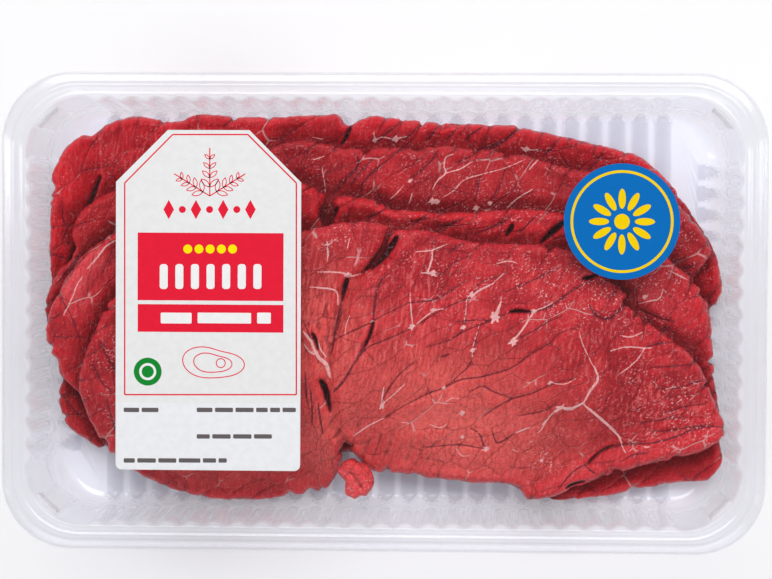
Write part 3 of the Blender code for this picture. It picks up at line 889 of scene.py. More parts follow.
def block(x0, y0, x1, y1, corner=0.0):
    """Give a rectangle on the label between two pixels of the photograph."""
    left, high = label_spot(x0, y0)
    right, low = label_spot(x1, y1)
    return bar(left, right, low, high, corner)


def word_bars(x0, x1, y0, y1, seed):
    """Give a row of plain rounded bars, as long as words, between two columns of pixels."""
    draw = random.Random(seed)
    height = y1 - y0
    bars, x = [], x0
    while x < x1 - 6.0:
        width = draw.uniform(*WORD_LENGTHS) * height * LETTER_SHARE
        bars.append(block(x, y0, min(x + width, x1), y1, BAR_CORNER))
        x += width + WORD_GAP * height
    return bars


def leaf(root_x, root_y, angle, length):
    """Give the outline of one pointed leaf on the label, in the photograph's pixels."""
    outline = []
    turn = math.radians(angle)
    for side in (1, -1):
        for step in range(7):
            share = step / 7 if side > 0 else 1 - step / 7
            wide = side * 0.20 * length * math.sin(math.pi * share) ** 0.8
            along = share * length
            outline.append((root_x + along * math.cos(turn) - wide * math.sin(turn),
                            root_y - along * math.sin(turn) - wide * math.cos(turn)))
    return [label_spot(*p) for p in outline]


def sprig_motif(centre_x, foot_y):
    """Give an upright sprig with leaves in line, between two lying ones."""
    outlines = []
    for lean, height in ((0.0, 48.0), (-58.0, 42.0), (58.0, 42.0)):
        turn = math.radians(90.0 + lean)
        stem = [(centre_x + height * t * math.cos(turn), foot_y - height * t * math.sin(turn))
                for t in (0.0, 0.5, 1.0)]
        outlines.append(stroke([label_spot(*p) for p in stem], STEM_WIDTH))
        for index in range(1, 5):
            share = index / 5.2
            x = centre_x + height * share * math.cos(turn)
            y = foot_y - height * share * math.sin(turn)
            for side in (-48.0, 48.0):
                ring = leaf(x, y, 90.0 + lean + side, 13.0 - 1.6 * index)
                outlines.append(stroke(ring + ring[:2], LEAF_WIDTH))
    return outlines


def cutlet_motif(centre_x, centre_y):
    """Give the line drawing of a plain cutlet on the label."""
    outlines = []
    for size in (1.0, 0.62):
        ring = []
        for step in range(49):
            angle = 2 * math.pi * step / 48
            reach = size * (1 + 0.16 * math.cos(2 * angle + 0.6) + 0.07 * math.cos(3 * angle))
            ring.append((centre_x + 27 * reach * math.cos(angle),
                         centre_y - 17 * reach * math.sin(angle)))
        outlines.append(stroke([label_spot(*p) for p in ring], DRAWING_WIDTH))
    ring = [(centre_x + 9 + 4.5 * math.cos(a), centre_y + 4.5 * math.sin(a))
            for a in np.linspace(0, 2 * math.pi, 20)]
    outlines.append(stroke([label_spot(*p) for p in ring[::-1]], DRAWING_WIDTH))
    return outlines


def print_layer(name, outlines, material, layer=0):
    """Print one ink on the label, over any layers below it."""
    make_print(name, outlines, INK_LEVEL + layer * (INK_LIFT + INK_THICKNESS), INK_THICKNESS,
               material, None)


def label_lower_field():
    """Give the outline of the label's whiter lower field."""
    split = label_spot(117, 402)[1]
    return label_outline(0.25)[:14] + [(LABEL_RIGHT - 0.25, split), (LABEL_LEFT + 0.25, split)]


def label_reds():
    """Give the label's red print: frame line, fields, sprigs, row of marks and cutlet."""
    frame_line = [(125, 183), (173, 134.6), (248, 134.6), (296.5, 183), (296.5, 394.5),
                  (125, 394.5)]
    loop = [label_spot(*p) for p in frame_line[::-1]]
    reds = [stroke([start, end], FRAME_WIDTH) for start, end in zip(loop, loop[1:] + loop[:1])]
    reds += [block(138, 232.5, 283.5, 301), block(138, 304, 283.5, 332.6)]
    reds += sprig_motif(210, 196)
    for index in range(7):
        x, y = label_spot(169 + index * 13.6, 209.5)
        if index % 2:
            reds.append(disc((x, y), 1.05, 20))
        else:
            reds.append([(x, y - 2.9), (x + 1.6, y), (x, y + 2.9), (x - 1.6, y)])
    return reds + cutlet_motif(212, 363)


def label_whites():
    """Give the white bars on the label's red fields."""
    whites = [block(160 + 15.6 * i, 264, 168 + 15.6 * i, 289, 0.9) for i in range(7)]
    return whites + word_bars(161, 271, 312.5, 323.5, 8)


def label_darks():
    """Give the dark bars at the label's foot."""
    darks = word_bars(124, 163, 407.5, 412, 11) + word_bars(197, 296, 407.5, 412, 12)
    return darks + word_bars(197, 272, 434, 438.5, 13) + word_bars(124, 227, 458, 462.5, 14)


def make_label():
    """Make the label: paper, a frame line, two red fields and plain marks of like scale."""
    paper = paper_material("label_paper", LABEL_PAPER)
    white_paper = paper_material("label_white_paper", LOWER_PAPER)
    red = paper_material("label_red", LABEL_RED, INK_ROUGHNESS)
    white = paper_material("label_white", LABEL_WHITE)
    yellow = paper_material("label_yellow", LABEL_YELLOW)
    green = paper_material("label_green", LABEL_GREEN)
    dark = paper_material("label_dark", LABEL_DARK)
    make_print("label_sheet", [label_outline()], PAPER_LEVEL, PAPER_THICKNESS, paper, "label")
    print_layer("label_lower_field", [label_lower_field()], white_paper)
    print_layer("label_red_print", label_reds(), red)
    print_layer("label_white_print", label_whites(), white, 1)
    dots = [disc(label_spot(188 + 11.2 * i, 249), 1.35, 20) for i in range(5)]
    print_layer("label_yellow_print", dots, yellow, 1)
    centre = label_spot(148, 371.5)
    print_layer("label_green_print", [disc(centre, 4.2)], green)
    ring = disc(centre, 2.2, 36)
    print_layer("label_ring_print", [stroke(ring + ring[:1], 0.75)], white, 1)
    print_layer("label_dark_print", label_darks(), dark, 1)


def petal(index):
    """Give the outline of one petal of the sticker's rosette."""
    angle = 2 * math.pi * index / PETALS
    ahead_x, ahead_y = math.cos(angle), math.sin(angle)
    x = STICKER_CENTRE[0] + PETAL_PLACE * ahead_x
    y = STICKER_CENTRE[1] + PETAL_PLACE * ahead_y
    length, width = PETAL_HALF_LENGTH, PETAL_HALF_WIDTH
    return [
        (x + length * ahead_x * math.cos(t) - width * ahead_y * math.sin(t),
         y + length * ahead_y * math.cos(t) + width * ahead_x * math.sin(t))
        for t in np.linspace(0, 2 * math.pi, 18, endpoint=False)
    ]


def make_sticker():
    """Make the round sticker: blue, with a yellow ring and a plain rosette."""
    blue = paper_material("sticker_blue", STICKER_BLUE)
    yellow = paper_material("sticker_yellow", STICKER_YELLOW, INK_ROUGHNESS)
    make_print("sticker_sheet", [disc(STICKER_CENTRE, STICKER_RADIUS, 96)], PAPER_LEVEL,
               PAPER_THICKNESS, blue, "round_sticker")
    ring = disc(STICKER_CENTRE, STICKER_RADIUS - 2.4, 72)
    marks = [stroke(ring + ring[:1], 0.8)]
    marks += [petal(index) for index in range(PETALS)]
    marks.append(disc(STICKER_CENTRE, 2.3, 32))
    make_print("sticker_print", marks, INK_LEVEL, INK_THICKNESS, yellow, None)


# Meat

def node_mesh(node):
    """Give a solid's points in millimetres and its triangles."""
    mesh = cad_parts[node].data
    points = np.array([vertex.co for vertex in mesh.vertices]) / MM
    mesh.calc_loop_triangles()
    return points, [tuple(t.vertices) for t in mesh.loop_triangles]


def plan_loop(points, triangles):
    """Give the outline of a slice's solid, seen from above, anticlockwise."""
    tree = plan_tree(points)
    same = [min(i for _, i, _ in tree.find_range((x, y, 0.0), 0.02)) for x, y, _ in points]
    links = {}
    for a, b, c in triangles:
        pa, pb, pc = points[a], points[b], points[c]
        area = (pb[0] - pa[0]) * (pc[1] - pa[1]) - (pb[1] - pa[1]) * (pc[0] - pa[0])
        if abs(area) > 1e-3:
            continue
        for start, end in ((a, b), (b, c), (c, a)):
            start, end = same[start], same[end]
            if start != end:
                links.setdefault(start, set()).add(end)
                links.setdefault(end, set()).add(start)
    first = next(iter(links))
    loop, before, here = [first], None, first
    while True:
        after = [i for i in links[here] if i != before]
        before, here = here, after[0]
        if here == first:
            break
        loop.append(here)
    outline = points[loop][:, :2]
    x, y = outline[:, 0], outline[:, 1]
    area = np.sum(x * np.roll(y, -1) - y * np.roll(x, -1))
    return outline if area > 0 else outline[::-1]


def along_fibres(plan, angle, along, across, seed):
    """Give each place's coordinates in cells that are stretched along the warped fibres."""
    turn = math.radians(angle)
    wide = np.stack([lumps(plan, WARP_WAVELENGTH, seed + step) for step in (1, 2)], axis=1)
    small = np.stack([lumps(plan, SMALL_WARP_WAVELENGTH, seed + step) for step in (3, 4)],
                     axis=1)
    placed = plan + WARP * wide + SMALL_WARP * small
    return np.column_stack([
        (placed[:, 0] * math.cos(turn) + placed[:, 1] * math.sin(turn)) / along + 100.0,
        (placed[:, 1] * math.cos(turn) - placed[:, 0] * math.sin(turn)) / across + 100.0,
        np.zeros(len(plan)),
    ])


def net_nodes():
    """Make geometry nodes that store how far each place is from the edge of its cell."""
    tree = bpy.data.node_groups.new("net_reader", "GeometryNodeTree")
    tree.interface.new_socket("Geometry", in_out="INPUT", socket_type="NodeSocketGeometry")
    tree.interface.new_socket("Geometry", in_out="OUTPUT", socket_type="NodeSocketGeometry")
    source = tree.nodes.new("NodeGroupInput")
    result = tree.nodes.new("NodeGroupOutput")
    place = tree.nodes.new("GeometryNodeInputNamedAttribute")
    place.data_type = "FLOAT_VECTOR"
    place.inputs["Name"].default_value = "place"
    net = tree.nodes.new("ShaderNodeTexVoronoi")
    net.voronoi_dimensions = "2D"
    net.feature = "DISTANCE_TO_EDGE"
    net.inputs["Scale"].default_value = 1.0
    net.inputs["Randomness"].default_value = CELL_RANDOMNESS
    keep = tree.nodes.new("GeometryNodeStoreNamedAttribute")
    keep.data_type = "FLOAT"
    keep.domain = "POINT"
    keep.inputs["Name"].default_value = "edge"
    tree.links.new(source.outputs[0], keep.inputs["Geometry"])
    tree.links.new(place.outputs["Attribute"], net.inputs["Vector"])
    tree.links.new(net.outputs["Distance"], keep.inputs["Value"])
    tree.links.new(keep.outputs["Geometry"], result.inputs[0])
    return tree


def cell_edges(places):
    """Read the same net of cells as the shader does, through geometry nodes."""
    mesh = bpy.data.meshes.new("net_reader")
    mesh.from_pydata([(0.0, 0.0, 0.0)] * len(places), [], [])
    reader = bpy.data.objects.new("net_reader", mesh)
    bpy.context.collection.objects.link(reader)
    store_vector(reader, "place", places)
    tree = net_nodes()
    reader.modifiers.new("net", "NODES").node_group = tree
    ready = reader.evaluated_get(bpy.context.evaluated_depsgraph_get())
    edges = np.zeros(len(places), dtype=np.float32)
    ready.data.attributes["edge"].data.foreach_get("value", edges)
    bpy.data.objects.remove(reader)
    bpy.data.meshes.remove(mesh)
    bpy.data.node_groups.remove(tree)
    return edges


def ragged_outline(outline, seed, bundles):
    """Smooth a closed outline, sample it finely and give it the unevenness of cut meat."""
    count = len(outline)
    points = []
    for index in range(count):
        before, start, end, after = (outline[(index + s) % count] for s in (-1, 0, 1, 2))
        pieces = max(1, round(float(np.linalg.norm(end - start)) / OUTLINE_SAMPLE))
        t = (np.arange(pieces) / pieces)[:, None]
        points.append(smooth_span(before, start, end, after, t))
    fine = np.vstack(points)
    tangent = tangents(fine, 3)
    outward = np.stack([tangent[:, 1], -tangent[:, 0]], axis=1)
    edge = cell_edges(along_fibres(fine, *bundles, seed)) * bundles[2]
    shift = 0.35 * lumps(fine, 7.0, seed) + 0.32 * lumps(fine, 2.4, seed + 5)
    shift += 0.17 * lumps(fine, 0.9, seed + 9) + 0.30
    deep_notches = smooth_step(-0.1, 0.5, lumps(fine, 9.0, seed + 13))
    shift -= NOTCH_DEPTH * deep_notches * (1 - smooth_step(0.0, 1.1, edge))
    return fine + outward * shift[:, None]


class Surface:
    """The fine grid over one slice: where it lies, how far in, and its smoothed faces."""

    def __init__(self, node, seed, bundles, facet_blur=FACET_BLUR):
        points, triangles = node_mesh(node)
        self.node, self.seed, self.bundles = node, seed, bundles
        self.facet_blur = facet_blur
        self.outline = ragged_outline(plan_loop(points, triangles), seed, bundles)
        low, high = self.outline.min(axis=0) - 2.0, self.outline.max(axis=0) + 2.0
        self.low = low
        columns = int((high[0] - low[0]) / GRID_STEP) + 1
        rows = int((high[1] - low[1]) / GRID_STEP) + 1
        self.shape = (rows, columns)
        gx, gy = np.meshgrid(low[0] + GRID_STEP * np.arange(columns),
                             low[1] + GRID_STEP * np.arange(rows))
        self.xy = np.stack([gx.ravel(), gy.ravel()], axis=1)
        self.tree = plan_tree(self.outline)
        coarse = self.outline[:: max(1, int(0.4 / OUTLINE_SAMPLE))]
        inside = inside_outline(self.xy, coarse)
        nearest = [self.tree.find((x, y, 0.0)) for x, y in self.xy]
        away = np.array([hit[2] for hit in nearest])
        self.nearest = np.array([hit[1] for hit in nearest])
        self.depth = np.where(inside, away, -away)
        body = BVHTree.FromPolygons([Vector(p) for p in points], triangles)
        self.top = self.sampled(body, -1.0)
        self.bottom = self.sampled(body, 1.0)

    def sampled(self, body, direction):
        """Read the solid's upper or lower face and smooth its facets away."""
        heights = np.zeros(len(self.xy))
        known = np.zeros(len(self.xy))
        start = -direction * 300.0
        for index in np.nonzero(self.depth > 2.0)[0]:
            x, y = self.xy[index]
            hit = body.ray_cast(Vector((x, y, start)), Vector((0.0, 0.0, direction)))
            if hit[0] is not None:
                heights[index] = hit[0].z
                known[index] = 1.0
        heights = heights.reshape(self.shape)
        known = known.reshape(self.shape)
        reach = self.facet_blur
        spread = blur(known, reach, GRID_STEP)
        smooth = blur(heights, reach, GRID_STEP) / np.maximum(spread, 1e-6)
        wide = blur(heights, 3 * reach, GRID_STEP) / np.maximum(
            blur(known, 3 * reach, GRID_STEP), 1e-9)
        trust = smooth_step(0.0, 0.02, spread)
        return (smooth * trust + wide * (1 - trust)).ravel()

    def read(self, field, xy):
        """Read one of the grid's fields at any places."""
        grid = field.reshape(self.shape)
        fx = np.clip((xy[:, 0] - self.low[0]) / GRID_STEP, 0, self.shape[1] - 1.001)
        fy = np.clip((xy[:, 1] - self.low[1]) / GRID_STEP, 0, self.shape[0] - 1.001)
        ix, iy = fx.astype(int), fy.astype(int)
        tx, ty = fx - ix, fy - iy
        low = grid[iy, ix] * (1 - tx) + grid[iy, ix + 1] * tx
        high = grid[iy + 1, ix] * (1 - tx) + grid[iy + 1, ix + 1] * tx
        return low * (1 - ty) + high * ty

    def path(self, pixels):
        """Lay a path read off the photograph on the slice's upper face, as a smooth curve."""
        laid = []
        for px, py in pixels:
            height = PATH_START_HEIGHT
            for _ in range(4):
                x, y = spot(px, py, height)
                height = float(self.read(self.top, np.array([[x, y]]))[0])
            laid.append(np.array((x, y)))
        ends = [2 * laid[0] - laid[1]] + laid + [2 * laid[-1] - laid[-2]]
        curve = []
        for before, start, end, after in zip(ends, ends[1:], ends[2:], ends[3:]):
            pieces = max(2, round(float(np.linalg.norm(end - start)) / PATH_STEP))
            for t in np.arange(pieces) / pieces:
                curve.append(smooth_span(before, start, end, after, t))
        return np.array(curve + [laid[-1]])


def crossings(surface, curves):
    """Find the grid vertices nearest to each crossing of a curve with the grid's lines."""
    moved = {}
    rows, columns = surface.shape
    for curve in curves:
        placed = (curve - surface.low) / GRID_STEP
        for start, end in zip(placed[:-1], placed[1:]):
            main = 0 if abs(end[0] - start[0]) > abs(end[1] - start[1]) else 1
            if start[main] > end[main]:
                start, end = end, start
            span = end[main] - start[main]
            for line in range(math.ceil(start[main]), math.floor(end[main]) + 1):
                share = (line - start[main]) / max(span, 1e-9)
                other = start[1 - main] + share * (end[1 - main] - start[1 - main])
                column, row = (line, round(other)) if main == 0 else (round(other), line)
                if 0 <= row < rows and 0 <= column < columns:
                    exact = (line, other) if main == 0 else (other, line)
                    moved[row * columns + column] = surface.low + GRID_STEP * np.array(exact)
    return moved


def grid_faces(surface, curves):
    """Choose the grid's cells inside the outline, with vertices moved onto it and the curves."""
    depth = surface.depth
    near = np.abs(depth) <= 0.5 * GRID_STEP
    used = near | (depth > 0)
    xy = surface.xy.copy()
    on_curve = np.zeros(len(xy), dtype=bool)
    for index, exact in crossings(surface, curves).items():
        if depth[index] > 1.2 * GRID_STEP:
            xy[index] = exact
            on_curve[index] = True
    xy[near] = surface.outline[surface.nearest[near]]
    rows, columns = surface.shape
    index = np.arange(rows * columns).reshape(surface.shape)
    corners = np.stack([index[:-1, :-1], index[:-1, 1:], index[1:, 1:], index[1:, :-1]], axis=-1)
    corners = corners.reshape(-1, 4)
    held = used[corners]
    middle = depth[corners].mean(axis=1) > 0
    full = corners[held.all(axis=1) & middle]
    marked = on_curve[full]
    rising = marked[:, 0] & marked[:, 2]
    falling = marked[:, 1] & marked[:, 3] & ~rising
    faces = [tuple(cell) for cell in full[~rising & ~falling]]
    faces += [tuple(cell[[0, 1, 2]]) for cell in full[rising]]
    faces += [tuple(cell[[0, 2, 3]]) for cell in full[rising]]
    faces += [tuple(cell[[0, 1, 3]]) for cell in full[falling]]
    faces += [tuple(cell[[1, 2, 3]]) for cell in full[falling]]
    for cell, kept in zip(corners[held.sum(axis=1) == 3], held[held.sum(axis=1) == 3]):
        face = tuple(cell[kept])
        if depth[list(face)].mean() > 0.05 * GRID_STEP:
            faces.append(face)
    return xy, faces


def boundary_loop(faces):
    """Chain the edges that only one face uses, and give the longest chain."""
    after = {}
    seen = set()
    for face in faces:
        for start, end in zip(face, face[1:] + face[:1]):
            seen.add((start, end))
    for start, end in seen:
        if (end, start) not in seen:
            after.setdefault(start, []).append(end)
    loops = []
    while after:
        first = next(iter(after))
        loop, here = [], first
        while here in after:
            loop.append(here)
            ends = after[here]
            following = ends.pop()
            if not ends:
                del after[here]
            here = following
        loops.append(loop)
    return max(loops, key=len)


def under_faces(surface, loop_xy):
    """Triangulate a slice's lower face: its edge, a rounded strip and a coarse lattice."""
    low, high = surface.outline.min(axis=0), surface.outline.max(axis=0)
    lattice = np.array([(x, y) for y in np.arange(low[1], high[1], LATTICE_STEP)
                        for x in np.arange(low[0], high[0], LATTICE_STEP)])
    strip = surface.outline[::6]
    tangent = tangents(strip, 1)
    inward = np.stack([-tangent[:, 1], tangent[:, 0]], axis=1)
    rings = np.vstack([strip[::2] + 0.9 * inward[::2], strip[::3] + 2.2 * inward[::3]])
    extra = np.vstack([rings, lattice])
    depth = surface.read(surface.depth, extra)
    keep = np.concatenate([depth[: len(rings)] > 0.6, depth[len(rings):] > 3.5])
    extra = extra[keep]
    count = len(loop_xy)
    both = [Vector(p) for p in np.vstack([loop_xy, extra])]
    placed, _, found, *_ = delaunay_2d_cdt(both, [], [list(range(count))], 1, 1e-5)
    plan = np.array([tuple(p) for p in placed])
    triangles = []
    for a, b, c in found:
        turn = ((plan[b][0] - plan[a][0]) * (plan[c][1] - plan[a][1])
                - (plan[b][1] - plan[a][1]) * (plan[c][0] - plan[a][0]))
        triangles.append((a, b, c) if turn < 0 else (a, c, b))
    return plan, triangles


def line_distance(points, curve, half_width, taper, skew):
    """Give each point's distance to a line that thins towards its ends, negative inside.

    A skew below 1 puts the widest place nearer to the line's start.
    """
    best = np.full(len(points), np.inf)
    along = np.zeros(len(points))
    lengths = np.concatenate([[0.0], np.cumsum(np.linalg.norm(np.diff(curve, axis=0), axis=1))])
    for index, (start, end) in enumerate(zip(curve[:-1], curve[1:])):
        span = end - start
        share = np.clip((points - start) @ span / max(span @ span, 1e-12), 0.0, 1.0)
        away = np.linalg.norm(points - start - share[:, None] * span, axis=1)
        closer = away < best
        best = np.where(closer, away, best)
        here = lengths[index] + share * (lengths[index + 1] - lengths[index])
        along = np.where(closer, here, along)
    swell = np.sin(np.pi * np.clip(along / lengths[-1], 0.0, 1.0) ** skew) ** 0.6
    return best - half_width * (1 - taper + taper * swell)


def lines_distance(points, lines, taper, skew=1.0):
    """Give each point's distance to the nearest of several lines."""
    best = np.full(len(points), FAR_AWAY)
    for half_width, curve in lines:
        low, high = curve.min(axis=0) - 3.0, curve.max(axis=0) + 3.0
        close = np.all((points > low) & (points < high), axis=1)
        best[close] = np.minimum(best[close],
                                 line_distance(points[close], curve, half_width, taper, skew))
    return best


def edge_profile(depth):
    """Give the rounding of a slice's edge: 0 at the edge and 1 from the flat on."""
    share = np.clip(depth / EDGE_ROUND, 0.0, 1.0)
    return np.sqrt(np.clip(1 - (1 - share) ** 2, 0.0, 1.0))


def cover_share(plan, covers):
    """Tell how near each place is to the slices that lie on it: 1 under them, 0 far away."""
    share = np.zeros(len(plan))
    for cover in covers:
        away = np.array([cover.tree.find((x, y, 0.0))[2] for x, y in plan])
        inside = inside_outline(plan, cover.outline[::4])
        signed = np.where(inside, -away, away)
        share = np.maximum(share, 1 - smooth_step(0.0, TUCK_REACH, signed))
    return share


def cavities(faces, relief, rounds=8):
    """Say how far each vertex lies below the mean of its surroundings."""
    pairs = np.array([
        (face[i], face[(i + 1) % len(face)]) for face in faces for i in range(len(face))
    ])
    count = np.bincount(pairs[:, 0], minlength=len(relief))
    count = np.maximum(count + np.bincount(pairs[:, 1], minlength=len(relief)), 1)
    mean = relief.copy()
    for _ in range(rounds):
        total = np.bincount(pairs[:, 0], weights=mean[pairs[:, 1]], minlength=len(relief))
        total += np.bincount(pairs[:, 1], weights=mean[pairs[:, 0]], minlength=len(relief))
        mean = total / count
    return mean - relief


def soft_patches(plan, patches):
    """Add up soft round patches: strength, place in pixels and half sizes in millimetres."""
    total = np.full(len(plan), patches[0])
    for strength, px, py, half_x, half_y in patches[1:]:
        x, y = spot(px, py, PATCH_HEIGHT)
        total += strength * np.exp(-((plan[:, 0] - x) / half_x) ** 2
                                   - ((plan[:, 1] - y) / half_y) ** 2)
    return total


def slice_relief(surface, plan, depth, marks, seam, vein, gap, furrow_depth):
    """Give the height of the lumps, furrows, seams, veins, gaps and ridges at each place."""
    seed = surface.seed
    bundle_edge = cell_edges(along_fibres(plan, *surface.bundles, seed)) * surface.bundles[2]
    relief = unevenness(plan, RELIEF_WAVES, seed)
    near_rim = 0.07 + 0.93 * np.exp(-depth / 3.5)
    relief -= furrow_depth * near_rim * (1 - smooth_step(0.0, 1.5, bundle_edge))
    relief -= SEAM_DEPTH * (1 - smooth_step(-0.1, 1.3, seam))
    relief += VEIN_RISE * smooth_step(0.25, -0.2, vein)
    relief -= GAP_DEPTH * (1 - smooth_step(-0.8, 0.7, gap))
    for rise, half_width, pixels in marks.get("ridges", []):
        share = distance_to_path(plan, surface.path(pixels)) / half_width
        relief += rise * np.clip(1 - share ** 2, 0.0, 1.0)
    return relief


def under_side(surface, loop_xy):
    """Give a slice's lower face: its places, their heights and the triangles."""
    under, triangles = under_faces(surface, loop_xy)
    depth = np.clip(surface.read(surface.depth, under), 0.0, None)
    depth[: len(loop_xy)] = 0.0
    top = surface.read(surface.top, under)
    bottom = surface.read(surface.bottom, under)
    middle = bottom + 0.5 * (top - bottom)
    return under, middle - (middle - bottom) * edge_profile(depth), triangles


def store_numbers(item, surface, everywhere, upper, fibre, fields):
    """Keep the numbers that the colours read, with plain ones on the lower face."""
    extra = len(everywhere) - len(upper["rim"])
    below = {"vein": FAR_AWAY, "seam": FAR_AWAY, "gap": FAR_AWAY, "rim": 1.0, "cavity": 0.0}
    for name, number in below.items():
        store(item, name, np.concatenate([upper[name], np.full(extra, number)]))
    for name in ("pale", "wet", "ripple"):
        store(item, name, np.clip(soft_patches(everywhere, fields[name]), 0.0, 1.0))
    # Painted shade where the slices above lie close, and an even painted shade on the lower face
    shade = 0.75 * upper["covered"] ** 1.5
    store(item, "shade", np.concatenate([shade, np.full(extra, 0.4)]))
    bundles = along_fibres(everywhere, *surface.bundles, surface.seed)
    store_vector(item, "bundle", bundles)
    store_vector(item, "fibre", along_fibres(everywhere, *fibre, surface.seed + 60))


def laid_lines(surface, marks):
    """Lay the veins, seams and gaps on a slice, each with its half width."""
    return {
        kind: [(half_width * share, surface.path(pixels))
               for half_width, pixels in marks.get(kind, [])]
        for kind, share in (("veins", VEIN_SHARE), ("seams", 1.0), ("gaps", 1.0))
    }


def upper_side(surface, lines):
    """Give a slice's upper face: its places from above, its faces and its outer loop."""
    xy, faces = grid_faces(surface, [curve for kind in lines.values() for _, curve in kind])
    loop = boundary_loop(faces)
    used = sorted(set(i for face in faces for i in face))
    order = {old: new for new, old in enumerate(used)}
    return xy[used], [tuple(order[i] for i in face) for face in faces], [order[i] for i in loop]


def make_slice(surface, covers, material, marks, fibre, fields, rim_rise, furrow_depth):
    """Make one slice's fine mesh, with its relief and its stored numbers for the colours."""
    lines = laid_lines(surface, marks)
    plan, faces, loop = upper_side(surface, lines)
    depth = np.clip(surface.read(surface.depth, plan), 0.0, None)
    depth[loop] = 0.0
    top = surface.read(surface.top, plan)
    bottom = surface.read(surface.bottom, plan)
    vein = lines_distance(plan, lines["veins"], 0.6)
    seam = lines_distance(plan, lines["seams"], 0.9)
    gap = lines_distance(plan, lines["gaps"], 1.0, 0.65)
    gap += unevenness(plan, GAP_WAVES, surface.seed)
    covered = cover_share(plan, covers)
    relief = slice_relief(surface, plan, depth, marks, seam, vein, gap, furrow_depth)
    cavity = cavities(faces, relief)
    relief += rim_rise * np.exp(-((depth - RIM_INSET) / RIM_WIDTH) ** 2)
    relief -= TUCK_DEPTH * covered
    middle = bottom + 0.5 * (top - bottom)
    height = middle + (top + relief - middle) * edge_profile(depth)
    height = np.maximum(height, bottom + LEAST_THICKNESS)

    rim = len(loop)
    under, under_height, under_triangles = under_side(surface, plan[loop])
    mapped = loop + list(range(len(plan), len(plan) + len(under) - rim))
    points = np.vstack([
        np.column_stack([plan, height]),
        np.column_stack([under[rim:], under_height[rim:]]),
    ])
    faces += [tuple(mapped[i] for i in t) for t in under_triangles]
    item = new_object(surface.node + "_meat", points, faces, material)
    upper = {"vein": vein, "seam": seam, "gap": gap, "rim": depth, "cavity": cavity,
             "covered": covered}
    store_numbers(item, surface, points[:, :2], upper, fibre, fields)
    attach(item, "root")
    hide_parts(surface.node)


def star(px, py, size, turn=20.0):
    """Give the three short crossing lines of a fat knot, in the photograph's pixels."""
    half_width = 0.052 * size
    lines = []
    for angle, share in ((turn, 1.0), (turn + 62.0, 0.8), (turn + 118.0, 0.65)):
        dx = 0.5 * size * share * math.cos(math.radians(angle))
        dy = 0.5 * size * share * math.sin(math.radians(angle))
        lines.append((half_width, [(px - dx, py + dy), (px + 0.3, py - 0.3), (px + dx, py - dy)]))
    return lines


